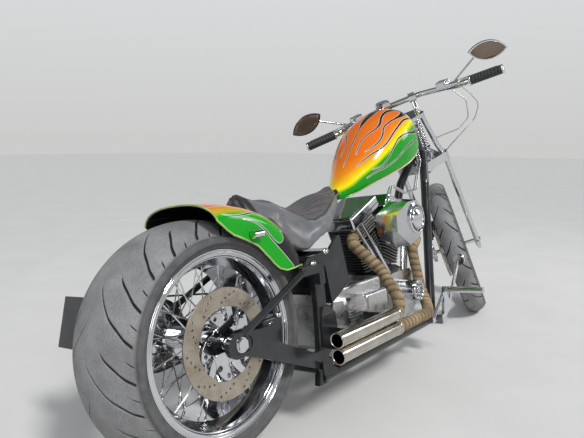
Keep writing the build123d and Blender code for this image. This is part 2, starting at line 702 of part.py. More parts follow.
barrel_fins = int((HEAD_BASE - CYLINDER_BASE - 24) / FIN_PITCH)
head_fins = int((HEAD_TOP - HEAD_BASE) / FIN_PITCH)
barrels = []
heads = []
for side in (-1, 1):
    fin = fin_plate(FIN_HALF_X, FIN_HALF_Y, FIN_T)
    barrel = Pos(0, 0, CYLINDER_BASE) * Cylinder(BARREL_R, HEAD_BASE - CYLINDER_BASE, align=BASE)
    barrel_z = [CYLINDER_BASE + 20 + FIN_PITCH * k for k in range(barrel_fins)]
    barrel = barrel.fuse(*[Pos(0, 0, z) * fin for z in barrel_z])
    keep_x = sorted((CRANK_X + side, CRANK_X + side * 400))
    barrels.append(v_frame(side) * barrel & block(keep_x, (-100, 100), (CRANK_Z, CRANK_Z + 400)))
    head_fin = fin_plate(FIN_HALF_X + HEAD_GROW, FIN_HALF_Y + HEAD_GROW, HEAD_FIN_T)
    head = Box(2 * FIN_HALF_X - 26, 2 * FIN_HALF_Y - 26, HEAD_TOP - HEAD_BASE, align=BASE)
    head = head.fuse(*[Pos(0, 0, FIN_PITCH * k) * head_fin for k in range(head_fins)])
    heads.append(v_frame(side) * Pos(0, 0, HEAD_BASE) * head)
nodes["cylinders"] = bike_frame * Compound(children=[s for b in barrels for s in b.solids()])
nodes["cylinder_heads"] = bike_frame * Compound(children=heads)

rockers = []
for side in (-1, 1):
    rocker_z = (HEAD_TOP, HEAD_TOP + ROCKER_H)
    cover = block((-ROCKER_HALF_X, ROCKER_HALF_X), (-ROCKER_OUT_Y, ROCKER_IN_Y), rocker_z, 10)
    step_x = (-ROCKER_HALF_X + 8, ROCKER_HALF_X - 8)
    step = block(step_x, (-ROCKER_OUT_Y - 3, ROCKER_IN_Y + 3), (HEAD_TOP + 16, HEAD_TOP + 22))
    rockers.append(v_frame(side) * (cover + step))
nodes["rocker_boxes"] = bike_frame * Compound(children=rockers)

COVER_Y = -CASE_HALF_Y
cover_outline = [(-104, -70), (-112, 20), (-70, 84), (70, 84), (112, 20), (104, -60), (50, -98), (-50, -98)]
timing = plate(cover_outline, COVER_Y - COVER_DEPTH, COVER_Y)
timing = crank_frame * fillet(timing.edges().filter_by(Axis.Y), 16)
nodes["timing_cover"] = bike_frame * timing
FILTER_R = 39.5
filter_face = COVER_Y - COVER_DEPTH
FILTER_DEPTH = 66.0
filter_end = filter_face - FILTER_DEPTH
oil_filter = rod((CRANK_X + 5, filter_face, CRANK_Z + 8), (CRANK_X + 5, filter_end, CRANK_Z + 8), FILTER_R)
nodes["oil_filter"] = bike_frame * chamfer(oil_filter.edges().sort_by(Axis.Y)[0], 5)

pushrods = []
for side in (-1, 1):
    for spread in (-15.0, 15.0):
        low = (side * 29 + spread, -112, 90)
        high = (side * 54 + 1.3 * spread, -ROCKER_OUT_Y + 10, HEAD_TOP + 4)
        pushrods.append(v_frame(side) * rod(low, high, PUSHROD_R))
for solid in [timing, case] + rockers + heads + barrels:
    pushrods = [p - solid for p in pushrods]
pushrods = [max(p.solids(), key=lambda s: s.volume) for p in pushrods]
nodes["pushrod_tubes"] = bike_frame * Compound(children=pushrods)

AIR_OUT_Y = -240.0
AIR_IN_Y = -165.0
AIR_GROW = 1.12
AIR_DOME = (887.0, 569.0)
air_outline = [(745, 592), (835, 632), (905, 636), (950, 600), (950, 540), (905, 500), (829, 476), (745, 530)]
air_x = sum(x for x, z in air_outline) / len(air_outline)
air_z = sum(z for x, z in air_outline) / len(air_outline)
air_wires = []
for y, grow in ((AIR_OUT_Y, 1.0), (AIR_IN_Y, AIR_GROW)):
    points = [(air_x + grow * (x - air_x), y, air_z + grow * (z - air_z)) for x, z in air_outline]
    air_wires.append(Face(Wire.make_polygon(points, close=True)))
air_cleaner = loft(air_wires)
dome_profile = [(0, 0), (0, 57), (-5, 57), (-6, 55), (-6, 42), (-3, 40), (-3, 36), (-7, 30)]
dome_profile += [(-11, 16), (-12, 0)]
air_cleaner += Pos(AIR_DOME[0], AIR_OUT_Y, AIR_DOME[1]) * turned(dome_profile)
nodes["air_cleaner"] = bike_frame * air_cleaner
CARB_X = CRANK_X
CARB_Z = 555.0
intake = block((CARB_X - 28, CARB_X + 28), (AIR_IN_Y + 12, -60), (CARB_Z - 26, CARB_Z + 34), 6)
intake += rod((AIR_DOME[0], AIR_IN_Y, AIR_DOME[1]), (CARB_X, -90, CARB_Z + 8), 24)
intake += rod((CARB_X - 70, -34, CARB_Z + 16), (CARB_X + 70, -34, CARB_Z + 16), 18)
intake += rod((CARB_X, -70, CARB_Z + 8), (CARB_X, -30, CARB_Z + 12), 22)
for solid in rockers + heads + barrels + pushrods + [air_cleaner]:
    intake -= solid
intake = max(intake.solids(), key=lambda s: s.volume)
nodes["carburettor"] = bike_frame * intake

PRIMARY_OUT_Y = 156.0
primary_plane = Plane(origin=(0, PRIMARY_Y, 0), x_dir=(1, 0, 0), z_dir=(0, -1, 0))
crank_circle = Pos(CRANK_X, CRANK_Z) * Circle(92)
clutch_circle = Pos(GEARBOX_OUT_X + 24, GEARBOX_OUT_Z - 14) * Circle(104)
primary_face = primary_plane * make_hull(crank_circle.edges() + clutch_circle.edges())
primary = extrude(primary_face, PRIMARY_Y - PRIMARY_OUT_Y)
primary = fillet(primary.edges().sort_by(Axis.Y)[-4:], 10)
pulley_out = BELT_Y + BELT_W / 2 + 3
pulley_ends = [(GEARBOX_OUT_X, y, GEARBOX_OUT_Z) for y in (PRIMARY_OUT_Y, pulley_out)]
front_pulley = rod(*pulley_ends, FRONT_PULLEY_R)
nodes["primary_cover"] = bike_frame * primary
nodes["front_pulley"] = bike_frame * front_pulley

gearbox = block((440, CRANK_X - CASE_HALF_X - SEAT_GAP), GEARBOX_Y, (180, GEARBOX_TOP), 14)
gearbox += block((640, 740), (-70, 70), (RAIL_LOW_Z + CROSS_R + SEAT_GAP, 190))
gearbox += block((646, 790), (-150, GEARBOX_Y[0] + 16), (235, 330), 14)
side_outline = [(512, 236), (520, 318), (540, 338), (608, 338), (626, 318), (640, 236)]
side_cover = plate(side_outline, -156, GEARBOX_Y[0] + 2)
ribs = [block((520, 630), (-158.5, -154), (z, z + 3.5)) for z in range(252, 322, 10)]
gearbox = gearbox.fuse(side_cover, *ribs)
gearbox += plate([(430, 296), (446, 342), (500, 336), (514, 304), (480, 286)], -152, -142)
gearbox += rod((490, -144, 316), (490, GEARBOX_Y[0] + 4, 316), 12)
nodes["gearbox"] = bike_frame * gearbox

# Exhaust
MUFFLER_R = 22.5
MUFFLER_WALL = 3.0
MUFFLER_BORE_LENGTH = 200.0
MUFFLER_Y = -260.0
MUFFLER_REAR_X = 300.0
MUFFLER_FRONT_X = 640.0
MUFFLER_TOP_Z = 267.0
MUFFLER_PITCH_Z = 47.4
PIPE_R = 21.0
low_z = MUFFLER_TOP_Z - MUFFLER_PITCH_Z
mufflers = []
for z in (MUFFLER_TOP_Z, low_z):
    body = rod((MUFFLER_REAR_X, MUFFLER_Y, z), (MUFFLER_FRONT_X, MUFFLER_Y, z), MUFFLER_R)
    bore_end = MUFFLER_REAR_X + MUFFLER_BORE_LENGTH
    bore = rod((MUFFLER_REAR_X, MUFFLER_Y, z), (bore_end, MUFFLER_Y, z), MUFFLER_R - MUFFLER_WALL)
    mufflers.append(body - bore)
nodes["mufflers"] = bike_frame * Compound(children=mufflers)

HANGER_T = 8.0
hanger_outline = [(372, 345), (400, 345), (432, 318), (436, 270), (420, 226), (372, 190)]
hanger_outline += [(366, 150), (356, 150), (356, 300)]
rear_hanger = plate(hanger_outline, -UPRIGHT_OUT_Y - HANGER_T, -UPRIGHT_OUT_Y)
for z in (MUFFLER_TOP_Z, low_z):
    rear_hanger += block((392, 420), (MUFFLER_Y + 6, -UPRIGHT_OUT_Y - HANGER_T + 1), (z - 11, z + 11))
rear_hanger += plate([(300, 200), (300, 158), (366, 144), (352, 172)], -202, -196)
rear_hanger += block((346, 366), (-202, -UPRIGHT_OUT_Y), (146, 164))
front_hanger = block((604, 622), (MUFFLER_Y + 6, -148), (low_z - 12, MUFFLER_TOP_Z + 12)) - gearbox
hangers = []
for hanger in (rear_hanger, front_hanger):
    cut = hanger - mufflers[0] - mufflers[1] - rails["right"]
    hangers.append(max(cut.solids(), key=lambda s: s.volume))
nodes["exhaust_hangers"] = bike_frame * Compound(children=hangers)
swing_right = bike_frame.inverse() * nodes["swingarm_right"] - rear_hanger
nodes["swingarm_right"] = bike_frame * max(swing_right.solids(), key=lambda s: s.volume)

REAR_PIPE = (
    # x, y, z, bend radius
    (746, -50, 522, 0),
    (676, -90, 504, 34),
    (704, -184, 404, 80),
    (666, MUFFLER_Y, 318, 50),
    (666, MUFFLER_Y, MUFFLER_TOP_Z, 24),
    (MUFFLER_FRONT_X, MUFFLER_Y, MUFFLER_TOP_Z, 0),
)
FRONT_PIPE = (
    # x, y, z, bend radius
    (1093, -20, 506, 0),
    (1114, -60, 492, 40),
    (1108, -120, 472, 36),
    (1014, -142, 444, 44),
    (1003, -168, 290, 90),
    (972, -208, 222, 60),
    (868, MUFFLER_Y, low_z, 80),
    (MUFFLER_FRONT_X, MUFFLER_Y, low_z, 0),
)
pipes = []
for points in (REAR_PIPE, FRONT_PIPE):
    places = [(x, y, z) for x, y, z, bend in points]
    pipes.append(tube(places, PIPE_R, [bend for x, y, z, bend in points[1:-1]]))
for solid in mufflers + heads + rockers + barrels:
    pipes = [p - solid for p in pipes]
pipes = [max(p.solids(), key=lambda s: s.volume) for p in pipes]
nodes["exhaust_pipes"] = bike_frame * Compound(children=pipes)

# Foot controls
PEG_X = 1158.0
PEG_Z = 250.0
PEG_R = 12.0
PEG_IN_Y = 202.0
PEG_END_Y = 360.0
CONTROL_Y = 196.0
PAD_R = 23.0
STAY_R = 7.0
controls = []
pegs = []
for side in (-1, 1):
    arm_outline = [(1120, 140), (1150, 146), (1196, 168), (1206, 196), (1176, 214), (1176, 258), (1148, 264)]
    arm = plate(arm_outline, *both(side, CONTROL_Y - 6, PEG_IN_Y - SEAT_GAP))
    foot_plate = y_block((1104, 1146), side, 140, PEG_IN_Y - SEAT_GAP, (118, 156))
    stay_y = side * (PEG_IN_Y - SEAT_GAP - STAY_R)
    stay = rod((1150, stay_y, 240), (1030, stay_y, 150), STAY_R)
    stay_end = y_block((1018, 1044), side, 140, CONTROL_Y + 6, (140, 160))
    pedal = rod((1196, side * (CONTROL_Y - 2), 190), (1180, side * 256, 366), 7)
    pad = rod((1172, side * 262, 370), (1182, side * 262, 373), PAD_R)
    control = arm.fuse(foot_plate, stay, stay_end, pedal, pad) - rails["left"] - rails["right"]
    controls.append(max(control.solids(), key=lambda s: s.volume))
    pegs.append(rod((PEG_X, side * PEG_IN_Y, PEG_Z), (PEG_X, side * PEG_END_Y, PEG_Z), PEG_R))
nodes["foot_controls"] = bike_frame * Compound(children=controls)
nodes["foot_pegs"] = bike_frame * Compound(children=pegs)

# Plate holder on the left of the rear wheel
PLATE_W = 190.0
PLATE_H = 145.0
PLATE_T = 3.0
PLATE_TILT = 15.6
plate_place = Pos(-193, 255, 403) * Rot(0, PLATE_TILT, 0)
number_plate = plate_place * Box(PLATE_T, PLATE_W, PLATE_H)
swing_left_out = SWING_LEFT_Y + SWING_T / 2
plate_arm = tube([(-27, swing_left_out + 6, 322), (-110, swing_left_out + 26, 340), (-193, 255, 396)], 7, 20)
arm_lug = plate([(-34, 306), (-20, 306), (-20, 346), (-34, 346)], swing_left_out, swing_left_out + 10)
nodes["plate_holder"] = bike_frame * (plate_arm + arm_lug + number_plate)

# Turn signals on the fender
SIGNAL_X = 112.0
SIGNAL_Y = 172.0
SIGNAL_Z = 601.0
SIGNAL_LENGTH = 36.0
SIGNAL_R = 11.0
signals = []
for side in (-1, 1):
    lamp = Pos(SIGNAL_X, side * SIGNAL_Y, SIGNAL_Z) * Rot(0, 90, 0) * Cylinder(SIGNAL_R, SIGNAL_LENGTH)
    stalk_in = (SIGNAL_X, side * (FENDER_HALF - 14), SIGNAL_Z - 2)
    stalk = rod(stalk_in, (SIGNAL_X, side * SIGNAL_Y, SIGNAL_Z - 2), 5)
    signal = lamp + stalk - fender
    signals.append(max(signal.solids(), key=lambda s: s.volume))
nodes["turn_signals"] = bike_frame * Compound(children=signals)

# Fork, in the steering frame
axle_rod = rod((AXLE_LEAD, -LEG_Y - 20, 0), (AXLE_LEAD, LEG_Y + 20, 0), AXLE_R)
legs = []
for side in (-1, 1):
    rear_leg = tube(
        [
            (LEG_X, side * LEG_Y, -6),
            (LEG_X, side * LEG_TREE_Y, LOWER_TREE + 18),
            (LEG_X - 8, side * (LEG_TREE_Y - 18), LOWER_TREE + 95),
            (UPPER_LEG_X, side * UPPER_LEG_Y, UPPER_TREE + UPPER_TREE_T),
        ],
        LEG_R,
        70,
    )
    spring_leg = tube(
        [
            (SPRING_LEG_X, side * (LEG_Y - 1), 16),
            (SPRING_LEG_X, side * LEG_TREE_Y, LOWER_TREE - 8),
            (SPRING_LEG_X, side * SPRING_Y, LOWER_TREE + LOWER_TREE_T + 25),
        ],
        SPRING_LEG_R,
        24,
    )
    rocker_outline = [(LEG_X - 18, -18), (AXLE_LEAD + 20, -20), (AXLE_LEAD + 20, 14)]
    rocker_outline += [(SPRING_LEG_X, 34), (LEG_X - 18, 26)]
    rocker = plate(rocker_outline, *both(side, LEG_Y - 8, LEG_Y + 8))
    perch = Pos(SPRING_LEG_X, side * SPRING_Y, LOWER_TREE + LOWER_TREE_T + 28) * Cylinder(22, 6, align=BASE)
    legs.append(rear_leg.fuse(spring_leg, rocker, perch) - axle_rod)
perch_top = LOWER_TREE + LOWER_TREE_T + 34


def tree_plate(circles, low, thickness):
    """Fork yoke: the hull of some (x, y, radius) circles, extruded up."""
    edges = []
    for x, y, radius in circles:
        edges += (Pos(x, y) * Circle(radius)).edges()
    return Pos(0, 0, low) * extrude(make_hull(ShapeList(edges)), thickness)


LOWER_CIRCLES = ((LEG_X - 6, LEG_TREE_Y, 18), (LEG_X - 6, -LEG_TREE_Y, 18), (0, 0, 32))
UPPER_CIRCLES = (
    (UPPER_LEG_X, UPPER_LEG_Y, 17),
    (UPPER_LEG_X, -UPPER_LEG_Y, 17),
    (SPRING_LEG_X - 4, SPRING_Y, 14),
    (SPRING_LEG_X - 4, -SPRING_Y, 14),
    (0, 0, 30),
)
lower_tree = tree_plate(LOWER_CIRCLES, LOWER_TREE, LOWER_TREE_T)
upper_tree = tree_plate(UPPER_CIRCLES, UPPER_TREE, UPPER_TREE_T)
stem = rod((0, 0, LOWER_TREE), (0, 0, UPPER_TREE + UPPER_TREE_T + 6), STEM_R)
trees = lower_tree + upper_tree + stem
for leg in legs:
    trees -= leg
nodes["fork_legs"] = steered_frame * Compound(children=legs)
nodes["fork_trees"] = steered_frame * trees
nodes["front_axle"] = steered_frame * axle_rod

springs = []
spring_top = perch_top + 118
turn_h = (spring_top - perch_top) / SPRING_TURN_COUNT
spring_profile = [(perch_top, 0), (UPPER_TREE, 0), (UPPER_TREE, SPRING_ROD_R), (spring_top, SPRING_ROD_R)]
for k in range(SPRING_TURN_COUNT, 0, -1):
    spring_profile.append((perch_top + turn_h * k - turn_h / 2, SPRING_R))
    spring_profile.append((perch_top + turn_h * (k - 1), SPRING_R - 5))
for side in (-1, 1):
    springs.append(Pos(SPRING_LEG_X, side * SPRING_Y, 0) * Rot(90, 0, 0) * turned(spring_profile))
nodes["fork_springs"] = steered_frame * Compound(children=springs)

# Handlebar
GRIP_RUN = Vector(-34.0, 118.0, 8.0).normalized()
BAR_BEND = 20.0
CLAMP_W = 30.0
BAR_RISE = 14.0
grip_in = Vector(GRIP_END_X, GRIP_END_Y, GRIP_END_Z) - GRIP_RUN * GRIP_LENGTH
bar_bend = grip_in - GRIP_RUN * BAR_BEND
bar_z = RISER_TOP + BAR_RISE
bar_points = [
    (GRIP_END_X, -GRIP_END_Y, GRIP_END_Z),
    (bar_bend.X, -bar_bend.Y, bar_bend.Z),
    (RISER_X, -BAR_MIDDLE_Y, bar_z),
    (RISER_X, BAR_MIDDLE_Y, bar_z),
    (bar_bend.X, bar_bend.Y, bar_bend.Z),
    (GRIP_END_X, GRIP_END_Y, GRIP_END_Z),
]
bar = tube(bar_points, BAR_R, 45)
handlebar = bar
grips = []
for side in (-1, 1):
    base_z = UPPER_TREE + UPPER_TREE_T
    riser_places = ((30, base_z), (30, base_z + 20), (RISER_X, RISER_TOP + 4))
    riser_points = [(x, side * RISER_Y, z) for x, z in riser_places]
    clamp = Pos(RISER_X, side * RISER_Y, bar_z) * Rot(90, 0, 0) * Cylinder(BAR_R + 9, CLAMP_W)
    handlebar = handlebar.fuse(tube(riser_points, 12, 10), clamp)
    inner = (grip_in.X, side * grip_in.Y, grip_in.Z)
    grips.append(rod(inner, (GRIP_END_X, side * GRIP_END_Y, GRIP_END_Z), GRIP_R) - bar)
for leg in legs:
    handlebar -= leg
nodes["handlebar"] = steered_frame * handlebar
nodes["grips"] = steered_frame * Compound(children=grips)

# Controls on the bar, and the mirrors
RESERVOIR_LENGTH = 60.0
RESERVOIR_AT = 160.0
SWITCH_R = 17.0
housings = []
mirrors = []
for side in (-1, 1):
    middle = Vector(RISER_X, side * BAR_MIDDLE_Y, bar_z)
    run = (Vector(bar_bend.X, side * bar_bend.Y, bar_bend.Z) - middle).normalized()
    grip_run = Vector(GRIP_RUN.X, side * GRIP_RUN.Y, GRIP_RUN.Z)
    block_place = Plane(origin=middle + run * RESERVOIR_AT, x_dir=(0, 0, 1), z_dir=run).location
    ahead = run.cross(Vector(0, 0, side))
    reservoir = fillet(Box(38, 34, RESERVOIR_LENGTH).edges(), 6)
    switch_middle = middle + ahead * 3.5
    switches = rod(tuple(switch_middle + run * 188), tuple(switch_middle + run * 262), SWITCH_R)
    lever_root = middle + run * 246 + Vector(28, 0, 4)
    perch = rod(tuple(middle + run * 240), tuple(lever_root + Vector(12, 0, 0)), 9)
    blade = rod(tuple(lever_root), tuple(lever_root + grip_run * 172 + Vector(8, 0, -4)), 5.5)
    housing = (block_place * Pos(12, side * 6, 0) * reservoir).fuse(switches, perch, blade) - bar
    housings.append(housing)
    foot = middle + run * 222
    top = Vector(-146, side * 348, 1006)
    stem_bar = rod(tuple(foot + Vector(0, 0, 12)), tuple(top), 4.5)
    tips = [(-156, side * 322, 1028), (-156, side * 470, 990)]
    upper_edge = ThreePointArc(tips[0], (-156, side * 406, 1046), tips[1])
    lower_edge = ThreePointArc(tips[1], (-156, side * 388, 971), tips[0])
    head = extrude(Face(Wire([upper_edge, lower_edge])), 13, dir=(1, 0, 0))
    mirror = (stem_bar + head) - housing
    mirrors.append(max(mirror.solids(), key=lambda s: s.volume))
nodes["bar_controls"] = steered_frame * Compound(children=housings)
nodes["mirrors"] = steered_frame * Compound(children=mirrors)

# Cables that the fork and the frame hold all the way
CABLE_R = 3.0
cable_a = tube(
    [(-24, -168, 893), (0, -224, 862), (20, -274, 776), (25, -262, 690), (26, -206, 654), (27, -90, 651)],
    CABLE_R,
    45,
)
cable_b_points = [(-139, -256, 912), (0, -297, 807), (20, -322, 739), (30, -287, 673), (30, -112, 566)]
cable_b = tube(cable_b_points, CABLE_R, 60)
cables = []
for cable in (cable_a, cable_b):
    cut = cable - housings[0] - legs[0] - lower_tree - bar
    cables.append(max(cut.solids(), key=lambda s: s.volume))
nodes["cables"] = steered_frame * Compound(children=cables)

LINE_PITCH = 12.0
lines = []
for k in range(2):
    y = -LINE_PITCH * k
    top_x, top_z = neck_point(700, 20)
    line = tube(
        [
            (top_x, y - 8, top_z),
            (top_x - 34, y - 38, top_z - 100),
            (CRANK_X + 300, y - 66, 672),
            (CRANK_X + 175, y - 84, 662),
            (CRANK_X + 62, y - 88, 700),
            (CARB_X + 8, y - 92, 640),
            (CARB_X + 8, y - 92, CARB_Z + 20),
        ],
        CABLE_R,
        28,
    )
    line = line - neck - intake
    lines.append(max(line.solids(), key=lambda s: s.volume))
nodes["control_lines"] = bike_frame * Compound(children=lines)

CALIPER_ARM_Y = 88.0
front_rotor_gap = ring(FRONT_DISC_Y - rotor_room[0], FRONT_DISC_Y + rotor_room[0], 60, rotor_room[1])
front_caliper = block((AXLE_LEAD - 20, AXLE_LEAD + 36), (44, 102), (104, 176), 8)
front_caliper -= front_axle_frame * front_rotor_gap
front_caliper += block((LEG_X - 8, AXLE_LEAD + 10), (CALIPER_ARM_Y, LEG_Y + 6), (112, 152))
front_caliper -= legs[1]
nodes["front_caliper"] = steered_frame * max(front_caliper.solids(), key=lambda s: s.volume)

HEADLIGHT_Z = 494.0
HEADLIGHT_BACK_X = 86.0
lamp_profile = [(0, 0), (0, 24), (14, 44), (30, 54), (82, 56), (88, 53), (88, 48), (90, 44), (92, 0)]
headlight = Pos(HEADLIGHT_BACK_X, 0, HEADLIGHT_Z) * Rot(0, 0, -90) * turned(lamp_profile)
headlight += block((24, HEADLIGHT_BACK_X + 16), (-10, 10), (LOWER_TREE - 12, LOWER_TREE + 12))
nodes["headlight"] = steered_frame * (headlight - lower_tree)

# Side stand on the left
STAND_PIVOT = Vector(905, 190, 128)
STAND_FOOT = Vector(1020, 322, 63)
STAND_R = 9.0
STAND_PIN_R = 6.0
STAND_BOSS_R = 15.0
STAND_BOSS_H = 20.0
STAND_TAB_T = 5.0
STAND_FOLDED = Vector(-0.985, 0.17, 0.0)
stand_axis = (STAND_FOOT - STAND_PIVOT).cross(STAND_FOLDED).normalized()
stand_place = Plane(origin=STAND_PIVOT, x_dir=(1, 0, 0), z_dir=stand_axis).location
stand_boss = stand_place * Cylinder(STAND_BOSS_R, STAND_BOSS_H)
stand_leg = rod(tuple(STAND_PIVOT), tuple(STAND_FOOT), STAND_R)
stand_foot = rod(tuple(STAND_FOOT - Vector(24, 8, 0)), tuple(STAND_FOOT + Vector(24, 8, 0)), STAND_R + 1)
stand_bore = stand_place * Cylinder(STAND_PIN_R + PIN_PLAY, STAND_BOSS_H * 3)
nodes["side_stand"] = bike_frame * (stand_boss + stand_leg + stand_foot - stand_bore)
bracket = stand_place * Cylinder(STAND_PIN_R, STAND_BOSS_H + 2 * STAND_TAB_T + 6)
for level in (-1, 1):
    tab_z = level * (STAND_BOSS_H / 2 + SEAT_GAP + STAND_TAB_T / 2)
    bracket += stand_place * Pos(0, 0, tab_z) * Cylinder(STAND_BOSS_R, STAND_TAB_T)
    bracket += stand_place * Pos(0, -24, tab_z) * Box(26, 48, STAND_TAB_T)
bracket -= rails["left"]
nodes["stand_bracket"] = bike_frame * max(bracket.solids(), key=lambda s: s.volume)

whole = Compound(children=[Compound(children=[s for s in shape.solids()]) for shape in nodes.values()])
box = whole.bounding_box()
shift = Pos(-(box.min.X + box.max.X) / 2, -(box.min.Y + box.max.Y) / 2, -box.min.Z)
for name, shape in nodes.items():
    export_step(shift * shape, "parts/" + name + ".step")
    low = shape.bounding_box().min.Z - box.min.Z
    print(name, len(shape.solids()), "solids, low", round(low, 2))
print("box", round(box.size.X, 1), round(box.size.Y, 1), round(box.size.Z, 1))
print("shift", shift.position)
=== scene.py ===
import math

import bmesh
import bpy
import numpy as np
from mathutils import Matrix, Vector


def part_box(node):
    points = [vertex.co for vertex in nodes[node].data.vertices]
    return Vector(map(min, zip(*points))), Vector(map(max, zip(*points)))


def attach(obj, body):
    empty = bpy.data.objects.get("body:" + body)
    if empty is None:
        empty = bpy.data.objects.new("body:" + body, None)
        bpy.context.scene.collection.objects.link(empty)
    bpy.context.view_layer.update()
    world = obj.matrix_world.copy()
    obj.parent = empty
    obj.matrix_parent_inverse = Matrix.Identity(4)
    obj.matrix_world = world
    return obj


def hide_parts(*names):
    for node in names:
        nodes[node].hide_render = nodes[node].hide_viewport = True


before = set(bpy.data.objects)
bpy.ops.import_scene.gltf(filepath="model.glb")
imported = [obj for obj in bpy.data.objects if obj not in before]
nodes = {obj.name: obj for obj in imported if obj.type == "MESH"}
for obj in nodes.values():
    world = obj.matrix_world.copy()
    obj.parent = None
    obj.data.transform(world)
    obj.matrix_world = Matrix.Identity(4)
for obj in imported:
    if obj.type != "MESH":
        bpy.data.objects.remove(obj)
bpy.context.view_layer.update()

# Places repeated from part.py. Bike frame: X forward, Y left, Z up, in metres, upright.
LEAN = 8.59
SETTLE_PITCH = 0.315
RAKE = 31.76
STEER_REST = 27.4
WHEELBASE = 1.8314
REAR_R = 0.3292
FRONT_R = 0.3525
AXLE_LEAD = 0.07747
REAR_DISC_Y = -0.1282
PHOTO_WIDTH = 584
PHOTO_FOCAL = 551.9
SENSOR = 36.0

turn = Matrix.Rotation(math.radians(SETTLE_PITCH), 4, "Y") @ Matrix.Rotation(math.radians(-LEAN), 4, "X")
disc_low, disc_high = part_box("rear_brake_disc")
shift = (disc_low + disc_high) / 2 - turn @ Vector((0, REAR_DISC_Y, REAR_R))
bike = Matrix.Translation(shift) @ turn
rake = math.radians(RAKE)
foot = Vector((WHEELBASE - AXLE_LEAD * math.cos(rake), 0, FRONT_R - AXLE_LEAD * math.sin(rake)))
neck = bike @ Matrix.Translation(foot) @ Matrix.Rotation(-rake, 4, "Y")
steer = neck @ Matrix.Rotation(math.radians(STEER_REST), 4, "Z")
rear_axle = bike @ Matrix.Translation((0, 0, REAR_R))
front_axle = steer @ Matrix.Translation((AXLE_LEAD, 0, 0))
scene = bpy.context.scene


def linked(name, data):
    """New object in the scene."""
    made = bpy.data.objects.new(name, data)
    scene.collection.objects.link(made)
    return made


# Camera
CAMERA_AT = Vector((-0.96070418, -1.0879502, 0.85428081))
CAMERA_FORWARD = Vector((0.76384428, 0.63218904, -0.129919))
CAMERA_ROLL = 0.59
pitch = Matrix.Rotation(math.radians(SETTLE_PITCH), 4, "Y")
forward = (pitch @ CAMERA_FORWARD).normalized()
level = forward.cross(pitch @ Vector((0, 0, 1))).normalized()
upward = level.cross(forward)
roll = math.radians(CAMERA_ROLL)
right = level * math.cos(roll) + upward * math.sin(roll)
up = upward * math.cos(roll) - level * math.sin(roll)
camera = linked("camera", bpy.data.cameras.new("camera"))
camera_turn = Matrix((right, up, -forward)).transposed().to_4x4()
camera.matrix_world = Matrix.Translation(pitch @ CAMERA_AT + shift) @ camera_turn
camera.data.sensor_width = SENSOR
camera.data.lens = PHOTO_FOCAL * SENSOR / PHOTO_WIDTH
camera.data.clip_start = 0.02
camera.data.clip_end = 200
scene.camera = camera
scene.view_settings.view_transform = "Standard"


# Materials, kept in looks by name
looks = {}


def shader(name, base, roughness, metallic=0.0, **sockets):
    """Node tree and shader of a new material, with plain values on the shader's own sockets."""
    made = bpy.data.materials.new(name)
    looks[name] = made
    made.use_nodes = True
    tree = made.node_tree
    bsdf = tree.nodes["Principled BSDF"]
    bsdf.inputs["Base Color"].default_value = (*base, 1)
    bsdf.inputs["Roughness"].default_value = roughness
    bsdf.inputs["Metallic"].default_value = metallic
    for socket, value in sockets.items():
        bsdf.inputs[socket.replace("_", " ")].default_value = value
    return tree, bsdf


def node(tree, kind, *sources, out=0, **values):
    """Output of a new node. sources go to its inputs in turn, values to attributes or to inputs by name."""
    made = tree.nodes.new("ShaderNode" + kind)
    for key, value in values.items():
        if hasattr(made, key):
            setattr(made, key, value)
        else:
            made.inputs[key.replace("_", " ")].default_value = value
    for socket, source in zip(made.inputs, sources):
        if isinstance(source, bpy.types.NodeSocket):
            tree.links.new(source, socket)
        elif source is not None:
            socket.default_value = source
    return made.outputs[out]


def feed(tree, bsdf, **sources):
    """Links sources to the shader's sockets."""
    for socket, source in sources.items():
        tree.links.new(source, bsdf.inputs[socket.replace("_", " ")])


def ramp(tree, source, stops):
    """Color Ramp of (position, colour) stops fed by source."""
    made = node(tree, "ValToRGB", source)
    elements = made.node.color_ramp.elements
    while len(elements) < len(stops):
        elements.new(0.5)
    for element, (position, colour) in zip(elements, stops):
        element.position = position
        element.color = (*colour, 1)
    return made


def noise(tree, scale, detail=3.0, rough=0.5):
    """Noise over the piece's own coordinates."""
    spot = node(tree, "TexCoord", out="Object")
    return node(tree, "TexNoise", spot, Scale=scale, Detail=detail, Roughness=rough)


def spread(tree, source, low, high, start=0.3, end=0.7):
    """Value from low to high as source goes from start to end."""
    return node(tree, "MapRange", source, start, end, low, high)


def bump(tree, bsdf, source, strength, distance=0.0004):
    """Bump on the shader from source."""
    made = node(tree, "Bump", Strength=strength, Distance=distance)
    tree.links.new(source, made.node.inputs["Height"])
    feed(tree, bsdf, Normal=made)


def worn(name, base, roughness, metallic, scale, vary, gloss_vary, grain, relief, **more):
    """Material with soft changes of tone and gloss and a fine grain."""
    tree, bsdf = shader(name, base, roughness, metallic, **more)
    broad = noise(tree, scale)
    dark, light = [tuple(c * factor for c in base) for factor in (1 - vary, 1 + vary)]
    colour = ramp(tree, broad, [(0.3, dark), (0.7, light)])
    gloss = spread(tree, broad, max(0.02, roughness - gloss_vary), roughness + gloss_vary)
    feed(tree, bsdf, Base_Color=colour, Roughness=gloss)
    bump(tree, bsdf, noise(tree, grain, 2.0), relief)


def attribute(tree, name):
    """Value that the piece's mesh carries under this name."""
    return node(tree, "Attribute", out="Fac", attribute_name=name)


def blend_colours(tree, first, second, share, kind="MIX"):
    """Second over first by share. Each is a colour or a socket."""
    colours = [(*c, 1) if isinstance(c, tuple) else c for c in (first, second)]
    return node(tree, "Mix", share, *[None] * 5, *colours, out=2, data_type="RGBA", blend_type=kind)


def speckled(tree, colour, source, start, end, dark):
    """Colour times a grey that rises from dark to white as source goes from start to end."""
    grey = ramp(tree, source, [(start, (dark, dark, dark)), (end, (1.0, 1.0, 1.0))])
    return blend_colours(tree, colour, grey, 1.0, "MULTIPLY")


